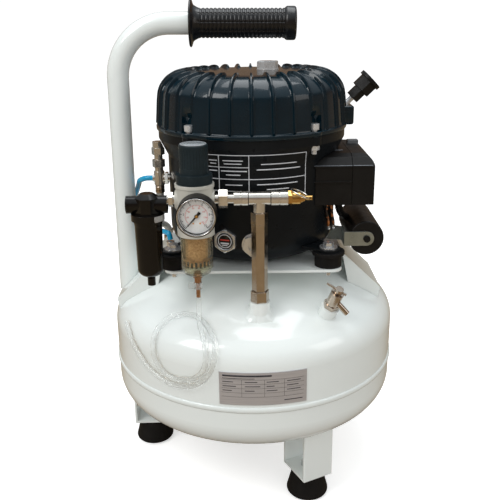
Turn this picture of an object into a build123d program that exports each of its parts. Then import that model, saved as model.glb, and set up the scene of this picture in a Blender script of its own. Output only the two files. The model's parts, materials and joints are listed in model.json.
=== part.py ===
from build123d import *
import os
import math

os.makedirs("parts", exist_ok=True)

# Airbrush compressor: a sealed oil-lubricated motor-pump unit on a small round
# air receiver, with a carrying handle, a filter-regulator and its fittings.
# Millimetres.  +Z is up, +X is to the right, -Y is the front.  The origin is
# on the floor, on the receiver's axis.

# ---------------------------------------------------------------- dimensions
# receiver
TANK_R = 171.0          # outer radius of the shell
TANK_TOP = 261.0        # highest point of the upper head
TANK_BOT = 41.0         # lowest point of the lower head
TANK_T = 2.5            # sheet thickness
CROWN_R = 280.5         # dish radius of a head
KNUCKLE_R = 34.0        # knuckle radius of a head
SEAM_Z = 142.0          # girth seam between the two halves
# feet
LEG_R = 133.7           # radius of the leg circle
LEG_ANGLES = (181.9, 297.4, 61.0)   # degrees from +X
FOOT_H = 30.0
FOOT_R_BOT = 24.0
FOOT_R_TOP = 17.5
# base plate
PLATE_TOP = 271.6
PLATE_T = 3.0
PLATE_X = 98.0
PLATE_Y = 102.0
WING_Y = 42.0           # half width of a side wing
FOLD_X = 105.0
WING_SLOPE = 0.96       # drop per millimetre outwards
WING_R_END = 151.5
WING_L_END = 163.5
# handle
TUBE_R = 12.5
TUBE_T = 1.5
HANDLE_BEND = 60.0
# motor-pump unit
BOWL_R = 98.0
BOWL_BOT = 273.5
BOWL_TOP = 414.5
BOWL_FLANGE_R = 108.0
LID_LIP_R = 110.0
LID_TOP = 477.0
LID_DISC_R = 67.0
RIBS = 30
RIB_W = 3.4
WALL = 4.0
BOLT_CIRCLE = 104.0
# line of fittings
LINE_Y = -125.0
LINE_Z = 359.0
RISER_X = 6.9
REG_X = -58.8
FIL_X = -108.0
# gauge
GAUGE_X, GAUGE_Z = -55.2, 350.6
GAUGE_R = 20.0
GAUGE_BACK, GAUGE_FRONT = -146.0, -165.0
# small running clearance of a turning or sliding piece
FIT = 0.06


def head_points(t, up):
    """Profile points of a dished head, moved inwards by t: apex, crown
    middle, crown end, knuckle middle, knuckle end."""
    rc, rk = CROWN_R - t, KNUCKLE_R - t
    ck = TANK_R - KNUCKLE_R
    k = math.sqrt((CROWN_R - KNUCKLE_R) ** 2 - ck ** 2)
    a = math.atan2(ck, k)
    zc = TANK_TOP - CROWN_R
    zk = zc + k
    pts = [
        (0, zc + rc),
        (rc * math.sin(a / 2), zc + rc * math.cos(a / 2)),
        (rc * math.sin(a), zc + rc * math.cos(a)),
        (ck + rk * math.sin((a + math.pi / 2) / 2), zk + rk * math.cos((a + math.pi / 2) / 2)),
        (ck + rk, zk),
    ]
    if up:
        return pts
    mid = TANK_TOP + TANK_BOT
    return [(r, mid - z) for r, z in pts]


def polar(r, deg):
    return (r * math.cos(math.radians(deg)), r * math.sin(math.radians(deg)))


# ----------------------------------------------------- envelopes (not exported)
# full outer volume of the receiver, used to trim what is welded to it
with BuildPart() as tank_env:
    with BuildSketch(Plane.XZ):
        with BuildLine():
            a, b, c, d, e = head_points(0, True)
            f, g, h, i, j = head_points(0, False)
            ThreePointArc(a, b, c)
            ThreePointArc(c, d, e)
            Line(e, j)
            ThreePointArc(j, i, h)
            ThreePointArc(h, g, f)
            Line(f, a)
        make_face()
    revolve(axis=Axis.Z)

# outer volume of the pump bowl, a little oversize, used to trim what sits on it
with BuildPart() as bowl_env:
    with BuildSketch(Plane.XZ):
        with BuildLine():
            Polyline((0, BOWL_BOT - 0.4), (68, BOWL_BOT - 0.4))
            ThreePointArc((68, BOWL_BOT - 0.4), (89.5, 281.6), (BOWL_R + 0.4, 303))
            Polyline((BOWL_R + 0.4, 303), (BOWL_R + 0.4, 384.6), (BOWL_FLANGE_R + 0.4, 404.6),
                     (BOWL_FLANGE_R + 0.4, BOWL_TOP), (0, BOWL_TOP), (0, BOWL_BOT - 0.4))
        make_face()
    revolve(axis=Axis.Z)

# ------------------------------------------------------------------- receiver
with BuildPart() as tank_upper_half:
    with BuildSketch(Plane.XZ):
        with BuildLine():
            a, b, c, d, e = head_points(0, True)
            f, g, h, i, j = head_points(TANK_T, True)
            ThreePointArc(a, b, c)
            ThreePointArc(c, d, e)
            Polyline(e, (TANK_R, SEAM_Z), (TANK_R - TANK_T, SEAM_Z), j)
            ThreePointArc(j, i, h)
            ThreePointArc(h, g, f)
            Line(f, a)
        make_face()
    revolve(axis=Axis.Z)
tank_upper_half.part.label = "tank_upper_half"
export_step(tank_upper_half.part, "parts/tank_upper_half.step")

# the lower half has a joggled rim that slips inside the upper half
with BuildPart() as tank_lower_half:
    with BuildSketch(Plane.XZ):
        with BuildLine():
            a, b, c, d, e = head_points(0, False)
            f, g, h, i, j = head_points(TANK_T, False)
            ThreePointArc(a, b, c)
            ThreePointArc(c, d, e)
            Polyline(e, (TANK_R, SEAM_Z), (TANK_R - TANK_T - 0.05, SEAM_Z),
                     (TANK_R - TANK_T - 0.05, SEAM_Z + 12), (TANK_R - 2 * TANK_T, SEAM_Z + 12),
                     (TANK_R - 2 * TANK_T, SEAM_Z - 8), (TANK_R - TANK_T, SEAM_Z - 14), j)
            ThreePointArc(j, i, h)
            ThreePointArc(h, g, f)
            Line(f, a)
        make_face()
    revolve(axis=Axis.Z)
tank_lower_half.part.label = "tank_lower_half"
export_step(tank_lower_half.part, "parts/tank_lower_half.step")

# weld-on sockets: riser, drain cock (square to the shoulder) and check valve
DRAIN_P = Vector(80, -112, 224)
DRAIN_N = Vector(0.285, -0.40, 0.87).normalized()
drain_plane = Plane(origin=DRAIN_P, z_dir=DRAIN_N)
CHECK_X, CHECK_Y = -112.0, 84.0
with BuildPart() as tank_bosses:
    with BuildSketch(Plane.XY.offset(222)):
        with Locations((RISER_X, LINE_Y)):
            Circle(11)
    extrude(amount=24)
    with BuildSketch(Plane.XY.offset(212)):
        with Locations((CHECK_X, CHECK_Y)):
            Circle(11)
    extrude(amount=24)
    with BuildSketch(drain_plane):
        Circle(10)
    extrude(amount=13)
    add(tank_env.part, mode=Mode.SUBTRACT)
    with BuildSketch(Plane.XY.offset(238)):
        with Locations((RISER_X, LINE_Y)):
            Circle(6.0)
    extrude(amount=10, mode=Mode.SUBTRACT)
tank_bosses.part.label = "tank_bosses"
export_step(tank_bosses.part, "parts/tank_bosses.step")

# three legs: folded U brackets, open sideways, with a bolt hole in the floor
with BuildPart() as leg_brackets:
    for ang in LEG_ANGLES:
        px, py = polar(LEG_R, ang)
        leg_plane = Plane(origin=(px, py, FOOT_H), x_dir=(math.cos(math.radians(ang)), math.sin(math.radians(ang)), 0), z_dir=(0, 0, 1))
        with BuildSketch(leg_plane):
            RectangleRounded(46, 38, 1.5)
        extrude(amount=75)
        with BuildSketch(leg_plane.offset(3)):
            Rectangle(40, 50)
        extrude(amount=75, mode=Mode.SUBTRACT)
        with BuildSketch(leg_plane):
            Circle(4.3)
        extrude(amount=5, mode=Mode.SUBTRACT)
    add(tank_env.part, mode=Mode.SUBTRACT)
leg_brackets.part.label = "leg_brackets"
export_step(leg_brackets.part, "parts/leg_brackets.step")

with BuildPart() as rubber_feet:
    with BuildSketch(Plane.XZ):
        with BuildLine():
            Polyline((4.3, 0), (FOOT_R_BOT - 4, 0))
            ThreePointArc((FOOT_R_BOT - 4, 0), (FOOT_R_BOT - 0.9, 1.6), (FOOT_R_BOT, 5))
            Polyline((FOOT_R_BOT, 5), (FOOT_R_TOP, FOOT_H), (4.3, FOOT_H), (4.3, 12), (9, 12), (9, 3), (4.3, 3), (4.3, 0))
        make_face()
    revolve(axis=Axis.Z)
one_foot = rubber_feet.part
with BuildPart() as rubber_feet:
    for ang in LEG_ANGLES:
        px, py = polar(LEG_R, ang)
        with Locations((px, py, 0)):
            add(one_foot)
rubber_feet.part.label = "rubber_feet"
export_step(rubber_feet.part, "parts/rubber_feet.step")

# M8 bolts, heads buried in the feet, nuts on the bracket floors
with BuildPart() as foot_bolts:
    for ang in LEG_ANGLES:
        px, py = polar(LEG_R, ang)
        with BuildSketch(Plane.XY.offset(6)):
            with Locations((px, py)):
                RegularPolygon(6.5, 6, major_radius=False)
        extrude(amount=5.5)
        with BuildSketch(Plane.XY.offset(11.4)):
            with Locations((px, py)):
                Circle(4.0)
        extrude(amount=33)
        with BuildSketch(Plane.XY.offset(FOOT_H + 3)):
            with Locations((px, py)):
                RegularPolygon(6.5, 6, major_radius=False)
        extrude(amount=6.5)
foot_bolts.part.label = "foot_bolts"
export_step(foot_bolts.part, "parts/foot_bolts.step")

# identification plate, rolled to the shell, left blank
PLATE_A0, PLATE_A1 = -102.5, -71.3
with BuildPart() as rating_plate:
    with BuildSketch(Plane.XY.offset(146.5)):
        with BuildLine():
            r1, r2 = TANK_R + 0.05, TANK_R + 0.85
            am = (PLATE_A0 + PLATE_A1) / 2
            ThreePointArc(polar(r2, PLATE_A0), polar(r2, am), polar(r2, PLATE_A1))
            Line(polar(r2, PLATE_A1), polar(r1, PLATE_A1))
            ThreePointArc(polar(r1, PLATE_A1), polar(r1, am), polar(r1, PLATE_A0))
            Line(polar(r1, PLATE_A0), polar(r2, PLATE_A0))
        make_face()
    extrude(amount=38)
rating_plate.part.label = "rating_plate"
export_step(rating_plate.part, "parts/rating_plate.step")

# ----------------------------------------------------------------- base plate
MOUNTS = ((-88.0, -85.0), (83.5, -85.0), (-88.0, 85.0), (83.5, 85.0))
with BuildPart() as base_plate:
    with BuildSketch(Plane.XY.offset(PLATE_TOP - PLATE_T)):
        RectangleRounded(2 * PLATE_X, 2 * PLATE_Y, 12)
        Rectangle(2 * FOLD_X, 2 * WING_Y)
    extrude(amount=PLATE_T)
    for sx, xe in ((1, WING_R_END), (-1, WING_L_END)):
        ze = PLATE_TOP - WING_SLOPE * (xe - FOLD_X)
        with BuildSketch(Plane.XZ.offset(-WING_Y)):
            with BuildLine():
                Polyline((sx * (FOLD_X - 0.5), PLATE_TOP), (sx * FOLD_X, PLATE_TOP), (sx * xe, ze),
                         (sx * xe, ze - 4.2), (sx * (FOLD_X - 0.5), PLATE_TOP - 4.2), close=True)
            make_face()
        extrude(amount=2 * WING_Y)
        for y0 in (-WING_Y, WING_Y - PLATE_T):
            with BuildSketch(Plane.XZ.offset(-y0)):
                with BuildLine():
                    Polyline((sx * (FOLD_X + 0.5), PLATE_TOP - 2), (sx * (xe - 0.4), ze - 1),
                             (sx * (xe - 3), ze - 22), (sx * (FOLD_X + 10), 224), close=True)
                make_face()
            extrude(amount=-PLATE_T)
    add(tank_env.part, mode=Mode.SUBTRACT)
    with BuildSketch(Plane.XY.offset(PLATE_TOP - PLATE_T)):
        with Locations(*MOUNTS):
            Circle(3.3)
    extrude(amount=PLATE_T, mode=Mode.SUBTRACT)
base_plate.part.label = "base_plate"
export_step(base_plate.part, "parts/base_plate.step")

# --------------------------------------------------------------------- handle
H_BOT = (-154.6, 0, 205)
H_CORNER = (-151.6, 0, 530.9)
H_END = (47, 0, 527.9)
with BuildPart() as handle_tube:
    with BuildLine():
        FilletPolyline(H_BOT, H_CORNER, H_END, radius=HANDLE_BEND)
    with BuildSketch(Plane(origin=H_BOT, x_dir=(0, 1, 0), z_dir=Vector(*H_CORNER) - Vector(*H_BOT))):
        Circle(TUBE_R)
        Circle(TUBE_R - TUBE_T, mode=Mode.SUBTRACT)
    sweep()
    # the foot of the tube is mitred to the slope of the left wing
    with BuildSketch(Plane.XZ.offset(-40)):
        with BuildLine():
            Polyline((-220, PLATE_TOP + 0.02 - WING_SLOPE * (220 - FOLD_X)), (-60, PLATE_TOP + 0.02 - WING_SLOPE * (60 - FOLD_X)),
                     (-60, 100), (-220, 100), close=True)
        make_face()
    extrude(amount=80, mode=Mode.SUBTRACT)
handle_tube.part.label = "handle_tube"
export_step(handle_tube.part, "parts/handle_tube.step")

# rubber grip: guard flange, cone, ribbed sleeve and flared closed end
GRIP_DIR = (Vector(*H_END) - Vector(*H_CORNER)).normalized()
GRIP_O = Vector(*H_CORNER) + GRIP_DIR * (H_CORNER[0] * -1 - 67.6) * 1.0
grip_plane = Plane(origin=GRIP_O, x_dir=(0, 1, 0), z_dir=GRIP_DIR)
GRIP_L = 119.0
with BuildPart() as handle_grip:
    with BuildSketch(Plane(origin=GRIP_O, x_dir=GRIP_DIR, z_dir=(0, -1, 0))):
        with BuildLine():
            pts = [(0, TUBE_R + 0.05), (0, 26), (2.2, 26), (4.2, 19.2), (10.2, 16.2)]
            s = 12.0
            for k in range(21):
                pts += [(s, 16.2), (s + 0.5, 14.9), (s + 1.5, 14.9), (s + 2.0, 16.2)]
                s += 4.5
            pts += [(105.5, 15.4), (107.5, 18.3), (117.0, 18.3), (GRIP_L, 16.5), (GRIP_L, 0),
                    (115.2, 0), (115.2, TUBE_R + 0.05)]
            Polyline(*pts, close=True)
        make_face()
    revolve(axis=Axis(GRIP_O, GRIP_DIR))
handle_grip.part.label = "handle_grip"
export_step(handle_grip.part, "parts/handle_grip.step")

# ------------------------------------------------------- anti-vibration mounts
with BuildPart() as rubber_mounts:
    with BuildSketch(Plane.XY.offset(PLATE_TOP)):
        with Locations(*MOUNTS):
            Circle(15)
            Circle(3.3, mode=Mode.SUBTRACT)
    extrude(amount=13.4)
    with BuildSketch(Plane.XY.offset(PLATE_TOP + 13.4)):
        with Locations(*MOUNTS):
            Circle(18)
            Circle(3.3, mode=Mode.SUBTRACT)
    extrude(amount=3.5)
rubber_mounts.part.label = "rubber_mounts"
export_step(rubber_mounts.part, "parts/rubber_mounts.step")

# bowl lugs: cast feet that reach out to the rubber mounts
LUG_Z = PLATE_TOP + 16.9
with BuildPart() as bowl_lugs:
    for mx, my in MOUNTS:
        am = math.atan2(my, mx)
        mr = math.hypot(mx, my)
        lug_plane = Plane(origin=(0, 0, LUG_Z), x_dir=(math.cos(am), math.sin(am), 0), z_dir=(0, 0, 1))
        with BuildSketch(lug_plane):
            with Locations((mr, 0)):
                Circle(13)
            with BuildLine():
                Polyline((mr, -13), (mr, 13), (84, 17), (84, -17), close=True)
            make_face()
            with Locations((mr, 0)):
                Circle(3.3, mode=Mode.SUBTRACT)
        extrude(amount=3.2)
    add(bowl_env.part, mode=Mode.SUBTRACT)
bowl_lugs.part.label = "bowl_lugs"
export_step(bowl_lugs.part, "parts/bowl_lugs.step")

# M6 bolts with large washers above and nuts below the plate
with BuildPart() as mount_bolts:
    with BuildSketch(Plane.XY.offset(LUG_Z + 3.2)):
        with Locations(*MOUNTS):
            Circle(10)
    extrude(amount=1.6)
    with BuildSketch(Plane.XY.offset(LUG_Z + 4.8)):
        with Locations(*MOUNTS):
            RegularPolygon(5.2, 6, major_radius=False)
    extrude(amount=4.6)
    with BuildSketch(Plane.XY.offset(PLATE_TOP - PLATE_T - 9)):
        with Locations(*MOUNTS):
            Circle(3.0)
    extrude(amount=LUG_Z + 4 - (PLATE_TOP - PLATE_T - 9))
    with BuildSketch(Plane.XY.offset(PLATE_TOP - PLATE_T - 5)):
        with Locations(*MOUNTS):
            RegularPolygon(5.0, 6, major_radius=False)
    extrude(amount=5)
mount_bolts.part.label = "mount_bolts"
export_step(mount_bolts.part, "parts/mount_bolts.step")

# ------------------------------------------------------------ motor-pump unit
BOLT_ANGLES = (-50.5, -129.5, 50.5, 129.5)
with BuildPart() as bowl_casing:
    with BuildSketch(Plane.XZ):
        with BuildLine():
            Line((0, BOWL_BOT), (68, BOWL_BOT))
            ThreePointArc((68, BOWL_BOT), (89.2, 282), (BOWL_R, 303))
            Polyline((BOWL_R, 303), (BOWL_R, 385), (BOWL_FLANGE_R, 405), (BOWL_FLANGE_R, BOWL_TOP),
                     (BOWL_R - WALL + 2, BOWL_TOP), (BOWL_R - WALL, 400), (BOWL_R - WALL, 303))
            ThreePointArc((BOWL_R - WALL, 303), (86.2, 285), (68, BOWL_BOT + WALL))
            Polyline((68, BOWL_BOT + WALL), (0, BOWL_BOT + WALL), (0, BOWL_BOT))
        make_face()
    revolve(axis=Axis.Z)
    for ang in BOLT_ANGLES:
        with BuildSketch(Plane.XY.offset(405)):
            with Locations(polar(BOLT_CIRCLE, ang)):
                Circle(7.5)
        extrude(amount=BOWL_TOP - 405)
    for ang in BOLT_ANGLES:
        with BuildSketch(Plane.XY.offset(404)):
            with Locations(polar(BOLT_CIRCLE, ang)):
                Circle(3.2)
        extrude(amount=14, mode=Mode.SUBTRACT)
        with BuildSketch(Plane.XY.offset(384)):
            with Locations(polar(BOLT_CIRCLE + 0.4, ang)):
                Circle(6.3)
        extrude(amount=21, mode=Mode.SUBTRACT)
bowl_casing.part.label = "bowl_casing"
export_step(bowl_casing.part, "parts/bowl_casing.step")

# lid: a ribbed casting, its ribs running from the flat top to the lip
with BuildPart() as lid_rib:
    with BuildSketch(Plane.XZ):
        with BuildLine():
            Polyline((70, 476), (67.5, LID_TOP + 2.6), (78, LID_TOP + 3.8))
            ThreePointArc((78, LID_TOP + 3.8), (97.4, 473.6), (107.6, 455.5))
            Polyline((107.6, 455.5), (110.6, 430), (110.6, 421), (102, 421), (98, 455), (88, 468), (70, 474), (70, 476))
        make_face()
    extrude(amount=RIB_W / 2, both=True)

with BuildPart() as lid_casing:
    with BuildSketch(Plane.XZ):
        with BuildLine():
            Line((0, LID_TOP), (LID_DISC_R, LID_TOP))
            Line((LID_DISC_R, LID_TOP), (80, 476.2))
            ThreePointArc((80, 476.2), (96, 469.6), (104.5, 453))
            Polyline((104.5, 453), (107.6, 421), (LID_LIP_R, 419.5), (LID_LIP_R, BOWL_TOP), (100, BOWL_TOP),
                     (100, 452), (92, 465), (80, 471.5), (0, 472.4), (0, LID_TOP))
        make_face()
    revolve(axis=Axis.Z)
    with PolarLocations(0, RIBS, start_angle=6):
        add(lid_rib.part)
    # side boss that carries the air intake
    with BuildSketch(Plane.YZ.offset(99)):
        with Locations((0, 427)):
            RectangleRounded(30, 22, 4)
    extrude(amount=18.5)
    with BuildSketch(Plane(origin=(104.5, 0, 433.7), z_dir=(0.72, 0, 0.694))):
        Circle(6)
    extrude(amount=8)
    with BuildSketch(Plane.XY.offset(414)):
        for ang in BOLT_ANGLES:
            with Locations(polar(BOLT_CIRCLE, ang)):
                Circle(7.2)
    extrude(amount=60, mode=Mode.SUBTRACT)
    with BuildSketch(Plane.XY.offset(BOWL_TOP)):
        for ang in BOLT_ANGLES:
            with Locations(polar(BOLT_CIRCLE, ang)):
                Circle(8.0)
    extrude(amount=7)
    with BuildSketch(Plane.XY.offset(BOWL_TOP - 1)):
        for ang in BOLT_ANGLES:
            with Locations(polar(BOLT_CIRCLE, ang)):
                Circle(3.2)
    extrude(amount=12, mode=Mode.SUBTRACT)
    with BuildSketch(Plane.XY.offset(LID_TOP - 8)):
        with Locations((19.6, 12)):
            Circle(6.0)
    extrude(amount=12, mode=Mode.SUBTRACT)
    with BuildSketch(Plane(origin=(104.5, 0, 433.7), z_dir=(0.72, 0, 0.694))):
        Circle(3.0)
    extrude(amount=12, mode=Mode.SUBTRACT)
lid_casing.part.label = "lid_casing"
export_step(lid_casing.part, "parts/lid_casing.step")

with BuildPart() as lid_bolts:
    for ang in BOLT_ANGLES:
        with BuildSketch(Plane.XY.offset(BOWL_TOP + 7)):
            with Locations(polar(BOLT_CIRCLE, ang)):
                Circle(5.0)
        extrude(amount=6.2)
        with BuildSketch(Plane.XY.offset(395.5)):
            with Locations(polar(BOLT_CIRCLE, ang)):
                Circle(3.0)
        extrude(amount=BOWL_TOP + 8 - 395.5)
        with BuildSketch(Plane.XY.offset(399.9)):
            with Locations(polar(BOLT_CIRCLE, ang)):
                RegularPolygon(5.0, 6, major_radius=False)
        extrude(amount=5.0)
lid_bolts.part.label = "lid_bolts"
export_step(lid_bolts.part, "parts/lid_bolts.step")

with BuildPart() as lid_plug:
    with BuildSketch(Plane.XY.offset(LID_TOP - 7)):
        with Locations((19.6, 12)):
            Circle(5.95)
    extrude(amount=7)
    with BuildSketch(Plane.XY.offset(LID_TOP)):
        with Locations((19.6, 12)):
            Circle(12.6)
    extrude(amount=1.4)
    with BuildSketch(Plane.XY.offset(LID_TOP + 1.4)):
        with Locations((19.6, 12)):
            RegularPolygon(10.9, 6, major_radius=False, rotation=12)
    extrude(amount=8.6)
    chamfer(lid_plug.faces().sort_by(Axis.Z)[-1].edges(), 0.9)
lid_plug.part.label = "lid_plug"
export_step(lid_plug.part, "parts/lid_plug.step")

# oil level window and oil drain plug on the front of the bowl
def bowl_spot(x, z):
    y = -math.sqrt(BOWL_R ** 2 - x ** 2)
    n = Vector(x, y, 0).normalized()
    return Plane(origin=(x, y, z), x_dir=(-n.Y, n.X, 0), z_dir=n)

sight_plane = bowl_spot(-29.5, 304)
with BuildPart() as sight_glass_nut:
    with BuildSketch(sight_plane.offset(-1.5)):
        RegularPolygon(11.0, 6, major_radius=False, rotation=30)
        Circle(8.0, mode=Mode.SUBTRACT)
    extrude(amount=5.5)
    add(bowl_env.part, mode=Mode.SUBTRACT)
sight_glass_nut.part.label = "sight_glass_nut"
export_step(sight_glass_nut.part, "parts/sight_glass_nut.step")

with BuildPart() as sight_glass_lens:
    with BuildSketch(sight_plane.offset(0.6)):
        Circle(7.95)
    extrude(amount=2.4)
    add(bowl_env.part, mode=Mode.SUBTRACT)
sight_glass_lens.part.label = "sight_glass_lens"
export_step(sight_glass_lens.part, "parts/sight_glass_lens.step")

plug_plane = bowl_spot(0.5, 301)
with BuildPart() as oil_plug:
    with BuildSketch(plug_plane.offset(-1.5)):
        Circle(12.5)
    extrude(amount=3.2)
    with BuildSketch(plug_plane.offset(1.7)):
        RegularPolygon(10.5, 6, major_radius=False, rotation=15)
    extrude(amount=6.5)
    with BuildSketch(plug_plane.offset(5.2)):
        Circle(5.5)
    extrude(amount=5, mode=Mode.SUBTRACT)
    add(bowl_env.part, mode=Mode.SUBTRACT)
oil_plug.part.label = "oil_plug"
export_step(oil_plug.part, "parts/oil_plug.step")

# air intake: stem, neck, hexagonal canister and rim
INT_O = Vector(104.5, 0, 433.7)
INT_N = Vector(0.72, 0, 0.694).normalized()
intake_plane = Plane(origin=INT_O, x_dir=(0, 1, 0), z_dir=INT_N)
with BuildPart() as intake_filter:
    with BuildSketch(intake_plane.offset(4)):
        Circle(2.95)
    extrude(amount=14)
    with BuildSketch(intake_plane.offset(16.5)):
        RegularPolygon(7.2, 6, major_radius=False)
    extrude(amount=12.5)
    with BuildSketch(intake_plane.offset(29)):
        RegularPolygon(10.4, 6, major_radius=False)
    extrude(amount=13.5)
    with BuildSketch(intake_plane.offset(42.5)):
        Circle(13.6)
    extrude(amount=4)
intake_filter.part.label = "intake_filter"
export_step(intake_filter.part, "parts/intake_filter.step")

# inside: induction motor above a scotch-yoke pump, crank axis vertical
with BuildPart() as stator_core:
    with BuildSketch(Plane.XY.offset(402)):
        Circle(68)
        Circle(34.5, mode=Mode.SUBTRACT)
    extrude(amount=36)
stator_core.part.label = "stator_core"
export_step(stator_core.part, "parts/stator_core.step")

with BuildPart() as stator_windings:
    for z in (388.0, 438.0):
        with BuildSketch(Plane.XY.offset(z)):
            Circle(58)
            Circle(38, mode=Mode.SUBTRACT)
        extrude(amount=14)
stator_windings.part.label = "stator_windings"
export_step(stator_windings.part, "parts/stator_windings.step")

CRANK_E = 8.0
with BuildPart() as rotor_shaft:
    with BuildSketch(Plane.XY.offset(404)):
        Circle(33.9)
    extrude(amount=32)
    with BuildSketch(Plane.XY.offset(334)):
        Circle(9.0)
    extrude(amount=70)
    with BuildSketch(Plane.XY.offset(436)):
        Circle(9.0)
    extrude(amount=12)
    with BuildSketch(Plane.XY.offset(326)):
        Circle(17)
    extrude(amount=8)
    with BuildSketch(Plane.XY.offset(308)):
        with Locations((CRANK_E, 0)):
            Circle(5.0)
    extrude(amount=18)
rotor_shaft.part.label = "rotor_shaft"
export_step(rotor_shaft.part, "parts/rotor_shaft.step")

PISTON_R = 15.0
with BuildPart() as pump_block:
    with BuildSketch(Plane.XY.offset(336)):
        Circle(40)
        Circle(9.0 + FIT, mode=Mode.SUBTRACT)
    extrude(amount=44)
    # four posts up to the stator
    with BuildSketch(Plane.XY.offset(376)):
        with PolarLocations(63, 4, start_angle=45):
            Circle(4)
    extrude(amount=26)
    with BuildSketch(Plane.XY.offset(372)):
        Circle(68)
        Circle(20, mode=Mode.SUBTRACT)
    extrude(amount=8)
    # cylinder barrel on the +X side with its closed valve head
    with BuildSketch(Plane.YZ.offset(42)):
        with Locations((0, 317)):
            Circle(21)
    extrude(amount=36)
    with BuildSketch(Plane.YZ.offset(41)):
        with Locations((0, 317)):
            Circle(PISTON_R + FIT)
    extrude(amount=31, mode=Mode.SUBTRACT)
    with BuildSketch(Plane.XY.offset(317)):
        with Locations((60, 0)):
            Rectangle(34, 30)
    extrude(amount=57)
    with BuildSketch(Plane.YZ.offset(41)):
        with Locations((0, 317)):
            Circle(PISTON_R + FIT)
    extrude(amount=31, mode=Mode.SUBTRACT)
    # feet down to the bowl floor
    with BuildSketch(Plane.XY.offset(BOWL_BOT + WALL)):
        with PolarLocations(56, 4, start_angle=45):
            Circle(5)
    extrude(amount=372 - BOWL_BOT - WALL)
pump_block.part.label = "pump_block"
export_step(pump_block.part, "parts/pump_block.step")

# piston with its yoke; the yoke window clears the crank pin's whole circle
with BuildPart() as piston_yoke:
    with BuildSketch(Plane.YZ.offset(31)):
        with Locations((0, 317)):
            Circle(PISTON_R)
    extrude(amount=30)
    with BuildSketch(Plane.XY.offset(311)):
        Rectangle(64, 50)
        Rectangle(48, 34, mode=Mode.SUBTRACT)
    extrude(amount=12)
piston_yoke.part.label = "piston_yoke"
export_step(piston_yoke.part, "parts/piston_yoke.step")

# ----------------------------------------------------------- electrical parts
BOX_X0, BOX_XS, BOX_X1 = 58.0, 109.7, 134.0
BOX_Y0, BOX_Y1 = -70.0, 40.0
BOX_Z0, BOX_Z1 = 336.0, 390.6
with BuildPart() as switch_box:
    with BuildSketch(Plane.YZ.offset(BOX_X0)):
        with BuildLine():
            Polyline((BOX_Y0, BOX_Z0), (BOX_Y0, 380), (BOX_Y0 + 8, 388), (BOX_Y0 + 18, BOX_Z1), (BOX_Y1 - 4, BOX_Z1),
                     (BOX_Y1, BOX_Z1 - 4), (BOX_Y1, BOX_Z0), close=True)
        make_face()
    extrude(amount=BOX_XS - 0.4 - BOX_X0)
    for z in (379.0, 362.0):
        with BuildSketch(Plane.YZ.offset(BOX_X0)):
            with Locations((BOX_Y0, z)):
                Rectangle(2.4, 2.0)
        extrude(amount=BOX_XS - 0.4 - BOX_X0)
    add(bowl_env.part, mode=Mode.SUBTRACT)
switch_box.part.label = "switch_box"
export_step(switch_box.part, "parts/switch_box.step")

with BuildPart() as switch_box_cover:
    with BuildSketch(Plane.YZ.offset(BOX_XS)):
        with BuildLine():
            Polyline((BOX_Y0, BOX_Z0), (BOX_Y0, 380), (BOX_Y0 + 8, 388), (BOX_Y0 + 18, BOX_Z1), (BOX_Y1 - 4, BOX_Z1),
                     (BOX_Y1, BOX_Z1 - 4), (BOX_Y1, BOX_Z0), close=True)
        make_face()
    extrude(amount=BOX_X1 - BOX_XS)
    with BuildSketch(Plane.XZ.offset(-BOX_Y1 - 2)):
        with Locations((BOX_X1 - 6.0, BOX_Z1 - 6.0)):
            Rectangle(14.0, 14.0)
        with Locations((BOX_X1 - 13, BOX_Z1 - 13)):
            Circle(13, mode=Mode.SUBTRACT)
    extrude(amount=BOX_Y1 - BOX_Y0 + 4, mode=Mode.SUBTRACT)
    with BuildSketch(Plane.YZ.offset(BOX_XS)):
        with Locations((BOX_Y0, 379.0)):
            Rectangle(2.4, 2.0)
    extrude(amount=BOX_X1 - BOX_XS - 3)
    with BuildSketch(Plane.XY.offset(BOX_Z1 - 9)):
        with Locations((120.5, 12)):
            Rectangle(13.0 + 0.6, 10.0 + 0.6)
    extrude(amount=12, mode=Mode.SUBTRACT)
    add(bowl_env.part, mode=Mode.SUBTRACT)
switch_box_cover.part.label = "switch_box_cover"
export_step(switch_box_cover.part, "parts/switch_box_cover.step")

with BuildPart() as switch_button:
    with BuildSketch(Plane.XY.offset(BOX_Z1 - 5.2)):
        with Locations((120.5, 12)):
            RectangleRounded(13.0, 10.0, 1.2)
    extrude(amount=9.4)
    fillet(switch_button.faces().sort_by(Axis.Z)[-1].edges(), 0.8)
switch_button.part.label = "switch_button"
export_step(switch_button.part, "parts/switch_button.step")

with BuildPart() as cable_gland:
    with BuildSketch(Plane.XZ.offset(-BOX_Y1)):
        with Locations((118, 356)):
            RegularPolygon(10, 6, major_radius=False)
            Circle(4.2, mode=Mode.SUBTRACT)
    extrude(amount=-7)
    with BuildSketch(Plane.XZ.offset(-BOX_Y1 - 7)):
        with Locations((118, 356)):
            Circle(8.5)
            Circle(4.2, mode=Mode.SUBTRACT)
    extrude(amount=-10)
cable_gland.part.label = "cable_gland"
export_step(cable_gland.part, "parts/cable_gland.step")

CAP_X, CAP_Z, CAP_R = 129.7, 293.7, 19.8
with BuildPart() as capacitor:
    with BuildSketch(Plane.XZ.offset(60)):
        with Locations((CAP_X, CAP_Z)):
            Circle(CAP_R)
    extrude(amount=-92)
    fillet(capacitor.edges().filter_by(GeomType.CIRCLE), 1.5)
    with BuildSketch(Plane.XZ.offset(60)):
        with Locations((CAP_X, CAP_Z)):
            Circle(3.8)
    extrude(amount=4.5)
capacitor.part.label = "capacitor"
export_step(capacitor.part, "parts/capacitor.step")

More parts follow.
